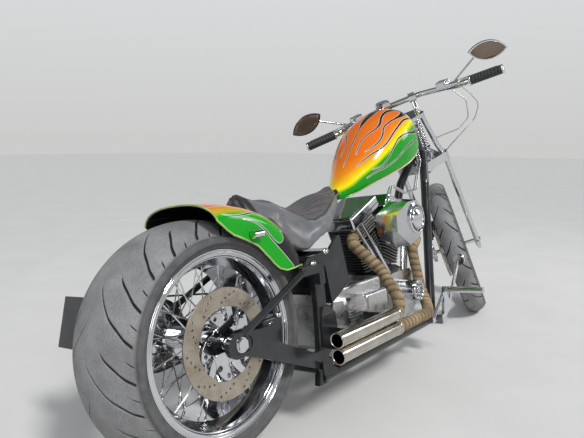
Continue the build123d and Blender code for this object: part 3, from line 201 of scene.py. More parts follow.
WORN_LOOKS = (
    # name, colour, roughness, metallic, scale, change of tone, change of gloss, grain's scale, relief
    ("chrome", (0.66, 0.67, 0.69), 0.09, 1.0, 14, 0.06, 0.04, 90, 0.04),
    ("muffler", (0.52, 0.485, 0.43), 0.13, 1.0, 22, 0.12, 0.05, 120, 0.05),
    ("gloss_black", (0.018, 0.019, 0.021), 0.22, 0.0, 18, 0.3, 0.06, 60, 0.05),
    ("engine_black", (0.022, 0.022, 0.024), 0.42, 0.0, 60, 0.35, 0.1, 500, 0.25),
    ("alloy", (0.60, 0.60, 0.60), 0.30, 1.0, 30, 0.12, 0.1, 300, 0.15),
    ("grip", (0.028, 0.028, 0.030), 0.6, 0.0, 30, 0.2, 0.1, 700, 0.35),
    ("seam", (0.72, 0.58, 0.30), 0.3, 0.0, 30, 0.15, 0.08, 300, 0.1),
    # lip: its yellow-green, lighter than the fender paint's green at the edge, is a painted glint
    ("lip", (0.30, 0.46, 0.10), 0.22, 0.0, 20, 0.25, 0.06, 200, 0.08),
    ("ring_dark", (0.10, 0.095, 0.095), 0.34, 0.8, 60, 0.3, 0.1, 500, 0.2),
    ("mirror_glass", (0.165, 0.120, 0.085), 0.07, 0.35, 12, 0.18, 0.03, 40, 0.02),
    ("floor", (0.60, 0.595, 0.58), 0.9, 0.0, 3, 0.03, 0.05, 60, 0.1),
)
COATED = {
    "gloss_black": {"Coat_Weight": 0.15, "Specular_IOR_Level": 0.45},
    "seam": {"Coat_Weight": 0.8},
    "lip": {"Coat_Weight": 1.0},
    "mirror_glass": {"Coat_Weight": 0.5},
}
for name, *row in WORN_LOOKS:
    worn(name, *row, **COATED.get(name, {}))


def fin_look(name, polished):
    """Black casting whose fin edges are polished where they face sideways."""
    tree, bsdf = shader(name, (0.02, 0.02, 0.02), 0.4)
    normal = node(tree, "NewGeometry", out="Normal")
    left = tuple(bike.to_3x3() @ Vector((0, 1, 0)))
    sideways = node(tree, "VectorMath", normal, left, out="Value", operation="DOT_PRODUCT")
    sideways = node(tree, "Math", sideways, operation="ABSOLUTE")
    bright = spread(tree, sideways, 0, polished, 0.35, 0.6)
    broad = noise(tree, 60, 4)
    black = ramp(tree, broad, [(0.3, (0.014, 0.014, 0.015)), (0.7, (0.034, 0.034, 0.036))])
    silver = ramp(tree, broad, [(0.3, (0.50, 0.49, 0.47)), (0.7, (0.70, 0.69, 0.67))])
    colour = blend_colours(tree, black, silver, bright)
    feed(tree, bsdf, Base_Color=colour, Metallic=bright, Roughness=spread(tree, broad, 0.32, 0.48))
    bump(tree, bsdf, noise(tree, 500, 2), 0.25)


fin_look("head_fins", 0.9)
fin_look("barrel_fins", 0.30)
SLOT_LOOK = {
    "frame_black": "gloss_black",
    "engine_black": "engine_black",
    "cover_aluminium": "alloy",
    "muffler_metal": "muffler",
    "grip_rubber": "grip",
}
NODE_LOOK = {
    "rear_caliper": "gloss_black",
    "front_caliper": "gloss_black",
    "cylinder_heads": "head_fins",
    "cylinders": "barrel_fins",
}
for name, shown in nodes.items():
    materials = shown.data.materials
    slot = materials[0].name.split(".")[0] if materials else "chrome"
    materials.clear()
    materials.append(looks[NODE_LOOK.get(name, SLOT_LOOK.get(slot, "chrome"))])


# Meshes and pieces
def new_mesh(name, verts, faces):
    """Mesh whose faces look outward."""
    mesh = bpy.data.meshes.new(name)
    mesh.from_pydata([tuple(v) for v in verts], [], [tuple(int(i) for i in f) for f in faces])
    held = bmesh.new()
    held.from_mesh(mesh)
    bmesh.ops.recalc_face_normals(held, faces=held.faces)
    held.to_mesh(mesh)
    held.free()
    return mesh


def carry(mesh, values):
    """Gives a mesh's points the float values that its material reads by name."""
    for key, data in values.items():
        held = mesh.attributes.new(key, "FLOAT", "POINT")
        held.data.foreach_set("value", np.asarray(data, dtype=np.float32))


def shade(mesh, smooth):
    """Makes a mesh's faces smooth or flat."""
    mesh.polygons.foreach_set("use_smooth", [smooth] * len(mesh.polygons))


def piece(name, shape, look, finish, body="chassis", replaces=None, values=None, smooth=True):
    """Object of (points, faces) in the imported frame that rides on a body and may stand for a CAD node."""
    mesh = new_mesh(name, *shape)
    carry(mesh, values or {})
    shade(mesh, smooth)
    mesh.materials.append(looks[look])
    made = linked(name, mesh)
    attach(made, body)
    if replaces:
        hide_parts(replaces)
    return made


def placed(points, matrix):
    """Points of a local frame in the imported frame, as an array."""
    m = np.array(matrix)
    points = np.asarray(points, dtype=float).reshape(-1, 3)
    return points @ m[:3, :3].T + m[:3, 3]


def joined(parts):
    """Several (points, faces) as one."""
    verts, faces, start = [], [], 0
    for points, quads in parts:
        verts.append(np.asarray(points, dtype=float))
        faces += [tuple(i + start for i in f) for f in quads]
        start += len(points)
    return np.vstack(verts), faces


def built(name, parts, place, look, finish, **more):
    """Piece of (points, faces) parts that are in the millimetres of a place's own frame."""
    verts, faces = joined(parts)
    return piece(name, (placed(verts / 1000, place), faces), look, finish, **more)


def grid_faces(rows, columns, wrap_rows=False, wrap_columns=False):
    """Quads of a grid of rows x columns points."""
    r = np.arange(rows if wrap_rows else rows - 1)
    c = np.arange(columns if wrap_columns else columns - 1)
    r, c = [v.ravel() for v in np.meshgrid(r, c, indexing="ij")]
    r2, c2 = (r + 1) % rows, (c + 1) % columns
    return np.stack([r * columns + c, r2 * columns + c, r2 * columns + c2, r * columns + c2], 1).tolist()


def loft(rings, ends=True):
    """Points and faces of a skin over rings of equally many points."""
    count, last = len(rings[0]), (len(rings) - 1) * len(rings[0])
    faces = grid_faces(len(rings), count, wrap_columns=True)
    if ends:
        faces += [range(count), range(last, last + count)]
    return np.vstack(rings), faces


def smooth_line(points, steps):
    """Catmull-Rom line through rows of numbers, steps to each span."""
    points = np.asarray(points, dtype=float)
    before = np.vstack([2 * points[0] - points[1], points, 2 * points[-1] - points[-2]])
    t = np.linspace(0, 1, steps, endpoint=False)[:, None]
    spans = []
    for k in range(len(points) - 1):
        a, b, c, d = before[k : k + 4]
        square, cube = 2 * a - 5 * b + 4 * c - d, 3 * b - a - 3 * c + d
        spans.append(0.5 * (2 * b + (c - a) * t + square * t**2 + cube * t**3))
    return np.vstack(spans + [points[-1:]])


def aside(run):
    """A direction square to run."""
    side = np.cross(run, (0, 0, 1) if abs(run[2]) < 0.9 else (1, 0, 0))
    return side / np.linalg.norm(side)


def circle(centre, run, side, radius, count):
    """Points of a circle about a direction, from side on."""
    a = np.arange(count) * 2 * math.pi / count
    return centre + radius * (np.outer(np.cos(a), side) + np.outer(np.sin(a), np.cross(run, side)))


def swept(line, radius, sides=10, ends=True):
    """Points and faces of a tube along a line of points."""
    line = np.asarray(line, dtype=float)
    runs = np.gradient(line, axis=0)
    runs /= np.linalg.norm(runs, axis=1, keepdims=True)
    side, rings = aside(runs[0]), []
    for point, run in zip(line, runs):
        side = side - run * side.dot(run)
        side /= np.linalg.norm(side)
        rings.append(circle(point, run, side, radius, sides))
    return loft(rings, ends)


def lathe(profile, at, run, steps=48, ends=True):
    """Points and faces of a profile of (way along, radius) turned about the line from at along run."""
    run = np.array(run) / np.linalg.norm(run)
    return loft([circle(at + run * way, run, aside(run), radius, steps) for way, radius in profile], ends)


def turned_ring(profile, steps=128):
    """Ring about Y from a closed (y, radius) profile."""
    y, r = np.asarray(profile, dtype=float).T
    angles = np.arange(steps) * 2 * math.pi / steps
    verts = [np.column_stack([r * math.cos(a), y, r * math.sin(a)]) for a in angles]
    return np.vstack(verts), grid_faces(steps, len(y), wrap_rows=True, wrap_columns=True)


def polar(angle, radius):
    """(x, z) at an angle in degrees and a radius."""
    return radius * math.cos(math.radians(angle)), radius * math.sin(math.radians(angle))


# Tyres. Their grids' columns follow the grooves, which curve back: (mm from the middle, degrees)
GROOVE_ROWS = ((0, 27.5), (11, 23.3), (41, 16.3), (66, 10.7), (90, 6.7), (110, 2.6), (127, 0), (141, -2))
# Grooves round the tyre, and places in degrees from each
PITCH_COUNT = 22
FIRST_GROOVE = 12.6
SIPE_AT = 8.18
SIPE_WIDE = 0.75
# (share of the width from the middle, share of the depth)
GROOVE_SHAPE = ((-0.62, 0), (-0.5, 0.75), (-0.25, 1), (0, 1), (0.25, 1), (0.5, 0.75), (0.62, 0))
SIPE_SHAPE = ((-0.42, 0), (-0.3, 0.6), (0, 0.8), (0.3, 0.6), (0.42, 0))
BEFORE_SIPE = (1.6, 3.0, 4.6, 6.2, 7.4)
AFTER_SIPE = (8.9, 10.2, 11.8, 13.4, 14.8)
CROWN_POWER = 2.2


def tyre_piece(name, axle, body, section, scale, depth, sweep, widen):
    """Tyre with cut grooves. scale, sweep and widen set them against the rear tyre's pattern."""
    radius, half, drop, lip_r, rim_half, bead_r, rows = section
    edge = 0.96 * half
    tread_y = np.linspace(-edge, edge, rows)
    tread_r = radius - drop * (np.abs(tread_y) / half) ** CROWN_POWER
    low = tread_r[-1]
    wide = low - 0.3 * (low - lip_r)
    bend = [(edge, low), (half - 0.4, (low + wide) / 2 + 2), (half, wide),
            (half - 1.2, wide - 0.35 * (wide - lip_r)), (rim_half + 5, lip_r + 8),
            (rim_half + 0.4, lip_r + 0.4)]
    inner = [(rim_half - 5, lip_r + 0.4), (rim_half - 5, bead_r + 0.5), (rim_half - 15, bead_r + 0.5),
             (half - 12, wide - 4), (0, radius - 14)]
    wall = np.vstack([smooth_line(bend, 4)[1:], inner])
    ys, rs = np.vstack([np.column_stack([tread_y, tread_r]), wall, wall[-2::-1] * (-1, 1)]).T
    count = len(ys)
    on_tread = np.arange(count) < rows
    on_right = ys < 0
    reach = np.abs(ys) / scale
    warp = sweep * np.interp(reach, *np.array(GROOVE_ROWS, dtype=float).T)
    groove_wide = np.interp(reach, (0, 60, 127), (0.62, 0.78, 1.04)) * widen
    sipe = on_tread * np.clip((reach - 114) / 2.5, 0, 1) * np.clip((130 - reach) / 2.5, 0, 1)
    pitch = 360 / PITCH_COUNT
    columns = []
    for k in range(PITCH_COUNT):
        start = FIRST_GROOVE + k * pitch
        long = on_right == (k % 2 == 0)
        first, last = np.where(long, 5.0, 55.0), np.where(long, 127.0, 129.0)
        groove = on_tread * np.clip((reach - first) / 5, 0, 1) * np.clip((last - reach) / 3, 0, 1)
        columns += [(start + s * groove_wide, groove * sunk) for s, sunk in GROOVE_SHAPE]
        columns += [(start + p, 0) for p in BEFORE_SIPE]
        columns += [(start + SIPE_AT + s * SIPE_WIDE * widen, sipe * sunk) for s, sunk in SIPE_SHAPE]
        columns += [(start + p, 0) for p in AFTER_SIPE]
    turns, sunk = [np.array([np.broadcast_to(part, count) for part in parts]) for parts in zip(*columns)]
    angle, r = np.radians(turns + warp), rs - depth * sunk
    points = np.stack([-r * np.cos(angle), np.broadcast_to(ys, r.shape), r * np.sin(angle)], 2)
    faces = grid_faces(len(columns), count, wrap_rows=True, wrap_columns=True)
    side = np.where(on_tread, np.clip((np.abs(ys) - edge + 6) / 6, 0, 1), 1.0)
    # groove carries how deep each point is sunk; the tread material paints shade from it
    values = {"groove": sunk.ravel(), "side": np.tile(side, len(columns))}
    built(name, [(points.reshape(-1, 3), faces)], axle, "tread", "tyre_rubber", body=body,
          replaces=name.removesuffix("_cut"), values=values)


def tread_look():
    """Dusty tread, painted shade in the grooves and darker sidewalls."""
    tree, bsdf = shader("tread", (0.1, 0.1, 0.1), 0.8)
    broad = noise(tree, 9, 5, 0.6)
    fine = noise(tree, 220, 3, 0.6)
    dusty = ramp(tree, broad, [(0.35, (0.165, 0.165, 0.168)), (0.65, (0.275, 0.275, 0.278))])
    dusty = speckled(tree, dusty, fine, 0.35, 0.65, 0.78)
    wall = ramp(tree, noise(tree, 40, 4), [(0.3, (0.060, 0.060, 0.062)), (0.7, (0.100, 0.099, 0.100))])
    walled = blend_colours(tree, dusty, wall, attribute(tree, "side"))
    # Painted shade: the grooves' sunk depth darkens the rubber to near black
    groove = spread(tree, attribute(tree, "groove"), 0, 1, 0.15, 0.6)
    dark = blend_colours(tree, walled, (0.012, 0.011, 0.010), groove)
    feed(tree, bsdf, Base_Color=dark, Roughness=spread(tree, broad, 0.65, 0.85))
    bump(tree, bsdf, fine, 0.3, 0.0005)


# radius, half width, drop of the crown, lip radius, rim's half width, bead radius, rows
REAR_TYRE = (329.0, 140.7, 55.0, 246.8, 124.7, 229.0, 66)
FRONT_TYRE = (352.3, 49.1, 26.0, 281.0, 38.0, 267.0, 30)
tread_look()
tyre_piece("rear_tyre_cut", rear_axle, "rear_wheel", REAR_TYRE, 1.0, 6.0, 1.0, 1.5)
tyre_piece("front_tyre_cut", front_axle, "front_wheel", FRONT_TYRE, 0.35, 4.0, 0.42, 1.75)


# Flames on the tank and the fender: black licks edged in silver over a fade from orange by yellow to green
def chain_distance(u, v, chain):
    """Distance from places (u, v) to a line of (u, v, half width), less the half width, in mm."""
    nearest = np.full(u.shape, 1e9)
    for (u0, v0, w0), (u1, v1, w1) in zip(chain[:-1], chain[1:]):
        du, dv = u1 - u0, v1 - v0
        length = du * du + dv * dv + 1e-9
        t = np.clip(((u - u0) * du + (v - v0) * dv) / length, 0, 1)
        d = np.hypot(u - u0 - t * du, v - v0 - t * dv) - (w0 + t * (w1 - w0))
        nearest = np.minimum(nearest, d)
    return nearest


def flame_look(name, stops):
    """Clear-coated paint with its fade and its licks from the piece's own values."""
    coat = {"Coat_Weight": 0.35, "Coat_Roughness": 0.03, "Specular_IOR_Level": 0.15}
    tree, bsdf = shader(name, (0.5, 0.2, 0.02), 0.2, **coat)
    cloud = noise(tree, 16)
    moved = node(tree, "Math", cloud, 0.06, attribute(tree, "fade"), operation="MULTIPLY_ADD")
    paint = speckled(tree, ramp(tree, moved, stops), noise(tree, 900, 2), 0.4, 0.62, 0.86)
    lick = attribute(tree, "lick")
    lined = blend_colours(tree, paint, (0.50, 0.50, 0.48), spread(tree, lick, 1, 0, 1.7, 2.2))
    lined = blend_colours(tree, lined, (0.012, 0.012, 0.014), spread(tree, lick, 1, 0, -0.2, 0.2))
    feed(tree, bsdf, Base_Color=lined, Roughness=spread(tree, cloud, 0.12, 0.22))
    bump(tree, bsdf, noise(tree, 260, 2), 0.02, 0.0003)


# Tank, in its own frame: along from the seat to the neck, up square to that
tank_place = bike @ Matrix.Translation((0.7, 0, 0.665)) @ Matrix.Rotation(math.radians(-24), 4, "Y")
# (along, half width, widest height, top, floor)
TANK_ROWS = ((22, 6, 0, 6, -6), (28, 17, -1, 13, -12), (40, 30, -2, 21, -16), (70, 47, -1, 34, -19),
             (101, 66, 0, 50, -21), (160, 92, 10, 79, -24), (220, 118, 22, 108, -29),
             (290, 140, 34, 136, -36), (366, 154, 46, 160, -44), (430, 155, 50, 168, -47),
             (494, 148, 50, 168, -43), (540, 128, 52, 156, -30), (570, 108, 54, 143, -10),
             (588, 87, 58, 131, 14), (597, 64, 62, 117, 32), (600, 36, 66, 99, 50))
# (from, to, rows) along the tank
TANK_SPANS = ((22, 40, 10), (40, 560, 210), (560, 600, 25))
ROOF_POINTS = 150
SIDE_POINTS = 26
FLOOR_POINTS = 14
fine = smooth_line(TANK_ROWS, 12)
along = np.concatenate([np.linspace(*span, endpoint=False) for span in TANK_SPANS] + [[600.0]])
half, wide, top, floor_up = [np.interp(along, fine[:, 0], fine[:, k]) for k in (1, 2, 3, 4)]
roof_turn = np.linspace(0, math.pi, ROOF_POINTS)
side_turn = np.linspace(0, math.pi / 2, SIDE_POINTS)[1:]


def tank_ring(h, w, upper, low):
    """(y, up) points from the right side over the roof to the left and round below."""
    roof = np.stack([-h * np.cos(roof_turn), w + (upper - w) * np.sin(roof_turn)], 1)
    left = [h * (0.80 + 0.20 * np.cos(side_turn) ** 0.7), w - (w - low) * np.sin(side_turn) ** 1.1]
    left = np.stack(left, 1)
    base = np.linspace(0.80 * h, -0.80 * h, FLOOR_POINTS)[1:-1]
    base = np.stack([base, np.full(len(base), low)], 1)
    return np.vstack([roof, left, base, left[::-1] * (-1, 1)])


def from_below(angle):
    """Angle counted from straight down, so that neither side breaks."""
    return np.mod(angle + math.pi / 2, 2 * math.pi) - math.pi / 2


rings = [tank_ring(*row) for row in zip(half, wide, top, floor_up)]
count = len(rings[0])
tank, tank_faces = loft([np.column_stack([np.full(count, a), ring]) for a, ring in zip(along, rings)])
row_wide = np.repeat(wide, count)
tank_turn = from_below(np.arctan2(tank[:, 2] - row_wide, -tank[:, 1]))
away = np.hypot(tank[:, 1], tank[:, 2] - row_wide)
TANK_PX = 5.0
TANK_LICKS = (
    # (along, y, up, half width in TANK_PX) of each lick, for both sides
    ((560, -106, 128, 3.4), (540, -90, 140, 3.4), (512, -70, 149, 2.5), (465, -56, 155, 1.4),
     (417, -58, 150, 0.9), (369, -69, 137, 0.9), (338, -65, 129, 0.6), (307, -49, 123, 0.5),
     (269, -33, 114, 0.4), (231, -30, 99, 0.3), (198, -32, 83, 0.15)),
    ((548, -103, 131, 3.4), (487, -113, 130, 1.6), (439, -106, 132, 0.8), (391, -95, 132, 0.6),
     (350, -89, 124, 0.5), (316, -94, 107, 0.5), (279, -89, 94, 0.45), (240, -75, 88, 0.3),
     (217, -59, 84, 0.15)),
    ((532, -137, 99, 0.6), (496, -133, 109, 0.8), (458, -125, 113, 0.7), (404, -124, 108, 0.6),
     (351, -118, 97, 0.5), (304, -114, 84, 0.5), (262, -100, 74, 0.5), (220, -80, 71, 0.4),
     (182, -62, 65, 0.3), (151, -48, 56, 0.15)),
    ((500, -146, 50, 1.6), (463, -154, 56, 1.2), (431, -152, 68, 0.8), (394, -145, 75, 0.7),
     (352, -137, 76, 0.4), (320, -131, 65, 0.4), (292, -127, 53, 0.4), (257, -120, 36, 0.4),
     (220, -108, 25, 0.3), (179, -90, 29, 0.15)),
    ((520, 0, 160, 4.4), (493, 0, 165, 4.2), (404, 0, 157, 2.6), (362, 0, 147, 1.5), (338, 0, 142, 0.5),
     (299, 0, 126, 0.5), (261, 0, 112, 0.4), (222, 0, 98, 0.4), (181, 0, 82, 0.3), (143, 0, 63, 0.15)),
    ((575, -95, 100, 2.4), (560, -112, 84, 2.0), (530, -138, 70, 1.4), (500, -146, 50, 1.6),
     (500, -140, 14, 1.8), (520, -120, -10, 2.0)),
    ((437, -151, 29, 0.8), (370, -147, 28, 0.5), (323, -137, 20, 0.5), (277, -125, 13, 0.4),
     (237, -113, 12, 0.4), (189, -98, 15, 0.3), (145, -80, 13, 0.15)),
)


def tank_lick():
    """Distance from every point of the tank to the nearest lick, in mm."""
    nearest = []
    for chain in TANK_LICKS:
        u, y, up, w = smooth_line(chain, 4).T
        centre = np.interp(u, along, wide)
        for sign in (1, -1):
            angles = from_below(np.arctan2(up - centre, -y * sign))
            line = [(at, angle * away, TANK_PX * width) for at, angle, width in zip(u, angles, w)]
            nearest.append(chain_distance(tank[:, 0], tank_turn * away, line))
    return np.min(nearest, axis=0)


# Where the fade is yellow and green: (along, up)
YELLOW_UP = ((76, 23), (118, 34), (167, 43), (218, 52), (276, 66), (330, 78), (381, 90), (463, 94), (600, 96))
GREEN_UP = ((86, 12), (124, 21), (176, 31), (232, 44), (288, 55), (337, 66), (402, 75), (481, 73), (600, 66))
yellow, green = [np.interp(tank[:, 0], *np.array(rows).T) for rows in (YELLOW_UP, GREEN_UP)]
above = tank[:, 2] - yellow
fade = np.where(above > 0, 0.5 - 0.5 * above / 38, 0.5 - 0.5 * above / (yellow - green + 4))
FLAME_STOPS = [(0.0, (0.80, 0.17, 0.008)), (0.25, (0.86, 0.28, 0.010)), (0.48, (0.92, 0.66, 0.006)),
               (0.56, (0.93, 0.80, 0.010)), (0.78, (0.45, 0.60, 0.008)), (1.0, (0.005, 0.30, 0.010))]
flame_look("tank_paint", FLAME_STOPS)
built("tank_shell", [(tank, tank_faces)], tank_place, "tank_paint", "flame_paint", replaces="fuel_tank",
      values={"fade": np.clip(fade, -0.2, 1.2), "lick": tank_lick()})

# Pale seam along the tank's lower edge
seam_along = np.linspace(60, 592, 90)
seam_half, seam_low = [np.interp(seam_along, along, v) for v in (half, floor_up)]
seams = []
for sign in (-1, 1):
    line = np.column_stack([seam_along, sign * (seam_half * 0.86), seam_low + 2.5])
    seams.append(swept(placed(line / 1000, tank_place), 0.0040))
piece("tank_seam", joined(seams), "seam", "flame_paint")

# Rear fender. Its edge and its crown: (degrees about the axle from the front, radius)
FENDER_EDGE = ((26.0, 345.0), (27.7, 342.0), (30.3, 307.0), (33.4, 279.0), (38.7, 261.0), (45.2, 257.0),
               (54.3, 261.0), (62.5, 269.0), (69.4, 271.0), (75.9, 275.0), (82.0, 281.0), (86.8, 294.0),
               (90.4, 311.0), (92.0, 320.0))
FENDER_TOP = ((26, 374), (30, 376), (38, 380), (45, 383), (55, 381), (65, 376), (75, 372), (92, 370.5))
FENDER_HALF = 158
FENDER_SHOULDER = 300
FENDER_WALL = 4
HALF_POINTS = 110
FENDER_ROWS = 170


def fender_row(angle):
    """(y, radius, way from the crown) of the fender at an angle, from its right edge to the crown."""
    power = np.interp(angle, (60, 92), (4.0, 2.5))
    low = np.interp(angle, *np.array(FENDER_EDGE).T)
    high = np.interp(angle, *np.array(FENDER_TOP).T)
    t = np.linspace(0, math.pi / 2, 160)
    y = -FENDER_HALF * np.cos(t) ** (2 / power)
    r = FENDER_SHOULDER + (high - FENDER_SHOULDER) * np.sin(t) ** (2 / power)
    if low < FENDER_SHOULDER:
        y, r = np.concatenate([[-FENDER_HALF], y]), np.concatenate([[low], r])
    else:
        first = np.interp(low, r, y)
        y, r = np.concatenate([[first], y[r > low]]), np.concatenate([[low], r[r > low]])
    way = np.concatenate([[0], np.cumsum(np.hypot(np.diff(y), np.diff(r)))])
    even = np.linspace(0, way[-1], HALF_POINTS)
    return np.interp(even, way, y), np.interp(even, way, r), way[-1] - even


points, ways, spots = [], [], []
for angle in np.linspace(26, 92, FENDER_ROWS):
    y, r, way = fender_row(angle)
    y, r = np.concatenate([y, -y[-2::-1]]), np.concatenate([r, r[-2::-1]])
    ways.append(np.concatenate([way, way[-2::-1]]))
    spots.append(np.full(len(y), angle))
    a = math.radians(angle)
    points.append(np.column_stack([r * math.cos(a), y, r * math.sin(a)]))
count = len(points[0])
outer = np.vstack(points)
ways, spots = np.concatenate(ways), np.concatenate(spots)
FENDER_MM = 6.3
FENDER_LICKS = (
    # (degrees about the axle, mm from the crown, half width) of each lick; a degree counts as FENDER_MM
    ((87.7, 157, 0.3), (83.6, 163, 1.0), (78.7, 164, 1.3), (73, 156, 2.0), (68.5, 146, 2.0), (63.5, 140, 2.0),
     (58.5, 139, 1.9), (54, 142, 2.2), (50, 145, 2.8), (45.9, 149, 4.0), (41.9, 155, 7.0), (37.9, 162, 12.0),
     (33, 165, 18.0), (26, 168, 26.0)),
    ((76, 173, 0.3), (71.4, 174, 1.0), (67.3, 177, 1.3), (62.9, 184, 1.5), (58.7, 192, 1.8), (54.3, 200, 2.0),
     (50.4, 203, 2.6), (46.5, 203, 5.0), (42.4, 198, 9.0), (36.7, 190, 13.0), (31, 180, 16.0),
     (26, 172, 20.0)),
    ((47, 180, 26.0), (43, 179, 26.0), (36, 177, 24.0), (31, 174, 24.0), (26, 172, 28.0)),
    ((93, 112, -1.0), (90.4, 116, -0.4), (85.7, 119, -0.4), (80, 112, -0.6), (75, 100, -1.2)),
    ((92, 76, -1.0), (88, 66, -0.3), (84, 58, -0.3), (78, 52, -0.5), (72, 50, -1.2)),
)


def fender_distance(chain):
    """Distance from every point of the fender to a chain, in mm."""
    return chain_distance(spots * FENDER_MM, ways, smooth_line(chain, 5) * (FENDER_MM, 1, 1))


LEAF = ((76, 168, 0.5), (68.5, 164, 6.5), (63, 164, 13), (57, 170, 18.5), (52, 177, 20.5), (49.4, 181, 20))
fender_lick = np.min([fender_distance(chain) for chain in FENDER_LICKS], axis=0)
fender_lick = np.maximum(fender_lick, -fender_distance(LEAF) - 0.6)
lean_in = np.interp(spots, (30, 60, 92), (14, 6, 0))
fender_fade = np.interp(ways + lean_in, (40, 104, 128, 148, 158, 168), (0.0, 0.1, 0.3, 0.5, 0.72, 1.0))
radii = np.hypot(outer[:, 0], outer[:, 2])
inner_shell = outer * ((radii - FENDER_WALL) / radii)[:, None] ** np.array([1, 0, 1])
inner_shell[:, 1] *= 1 - FENDER_WALL / FENDER_HALF
quads = grid_faces(FENDER_ROWS, count)
under = [[i + len(outer) for i in f[::-1]] for f in quads]
ids = np.arange(FENDER_ROWS * count).reshape(FENDER_ROWS, count)
rim_loop = [*ids[0], *ids[1:, -1], *ids[-1, -2::-1], *ids[-2:0:-1, 0]]
rim_faces = [(a, b, b + len(outer), a + len(outer)) for a, b in zip(rim_loop, rim_loop[1:] + rim_loop[:1])]
FENDER_STOPS = [(0.0, (0.72, 0.10, 0.010)), (0.2, (0.72, 0.17, 0.012)), (0.45, (0.62, 0.34, 0.02)),
                (0.6, (0.38, 0.40, 0.02)), (0.8, (0.03, 0.42, 0.010)), (1.0, (0.004, 0.32, 0.010))]
flame_look("fender_paint", FENDER_STOPS)
fender_values = {
    "lick": np.concatenate([fender_lick, np.full(len(outer), -30.0)]),
    "fade": np.concatenate([fender_fade, fender_fade]),
}
built("fender_shell", [(np.vstack([outer, inner_shell]), quads + under + rim_faces)], rear_axle,
      "fender_paint", "flame_paint", replaces="rear_fender", values=fender_values)

# Bead along the fender's rim, in a lighter yellow-green that is a painted glint
lip_line = outer[rim_loop + rim_loop[:1]][::2]
piece("fender_lip", swept(placed(lip_line / 1000, rear_axle), 0.0028, 8, ends=False), "lip", "flame_paint")

# Seat: a soft shell with a pleated insert between smooth rolls
INSERT_HALF = ((190, 0), (215, 22), (250, 33), (343, 43), (366, 56), (396, 70), (430, 94), (460, 99),
               (524, 90), (596, 68), (667, 42), (705, 22))
PLEAT = 16.0


def evaluated_mesh(made):
    """The object's mesh with its modifiers applied."""
    found = made.evaluated_get(bpy.context.evaluated_depsgraph_get())
    return bpy.data.meshes.new_from_object(found)


def coordinates(mesh, normals=False):
    """Points or normals of a mesh as an array."""
    values = np.empty(len(mesh.vertices) * 3, dtype=np.float32)
    if normals:
        mesh.vertex_normals.foreach_get("vector", values)
    else:
        mesh.vertices.foreach_get("co", values)
    return values.reshape(-1, 3).astype(float)


def put_coordinates(mesh, points):
    """Moves a mesh's points to these places."""
    mesh.vertices.foreach_set("co", np.asarray(points, dtype=np.float32).ravel())
    mesh.update()


def applied(made, kind, **values):
    """Adds a modifier, then replaces the mesh by its result."""
    modifier = made.modifiers.new(kind, kind)
    for key, value in values.items():
        setattr(modifier, key, value)
    made.data = evaluated_mesh(made)
    made.modifiers.clear()


def seat_look():
    """Glossy side rolls lightened by painted sheen, a dull pleated insert with painted shade in its creases,
    and a dark tail.
    """
    tree, bsdf = shader("seat", (0.06, 0.06, 0.06), 0.5, Sheen_Weight=0.15)
    insert = spread(tree, attribute(tree, "insert"), 0, 1, -0.5, 0.5)
    broad = noise(tree, 22)
    # The side rolls' lighter grey over the insert's is painted sheen on the black leather
    roll = ramp(tree, broad, [(0.3, (0.100, 0.101, 0.107)), (0.7, (0.150, 0.152, 0.160))])
    pleat = ramp(tree, broad, [(0.3, (0.052, 0.050, 0.052)), (0.7, (0.082, 0.078, 0.080))])
    colour = blend_colours(tree, roll, pleat, insert)
    # Painted shade in the pleat valleys and the seam groove, near black
    painted_crease_shade = spread(tree, attribute(tree, "painted_crease_shade"), 0, 1, 0.0, 1.0)
    colour = blend_colours(tree, colour, (0.020, 0.019, 0.020), painted_crease_shade)
    colour = blend_colours(tree, colour, (0.020, 0.020, 0.022), attribute(tree, "tail"))
    feed(tree, bsdf, Base_Color=colour, Roughness=spread(tree, insert, 0.27, 0.62, 0, 1))
    bump(tree, bsdf, noise(tree, 420, 3, 0.6), 0.35)


VOXEL = 0.006
SHRINK = 0.001
CLOTH_FRAMES = 20
CLOTH_CAP = 0.008


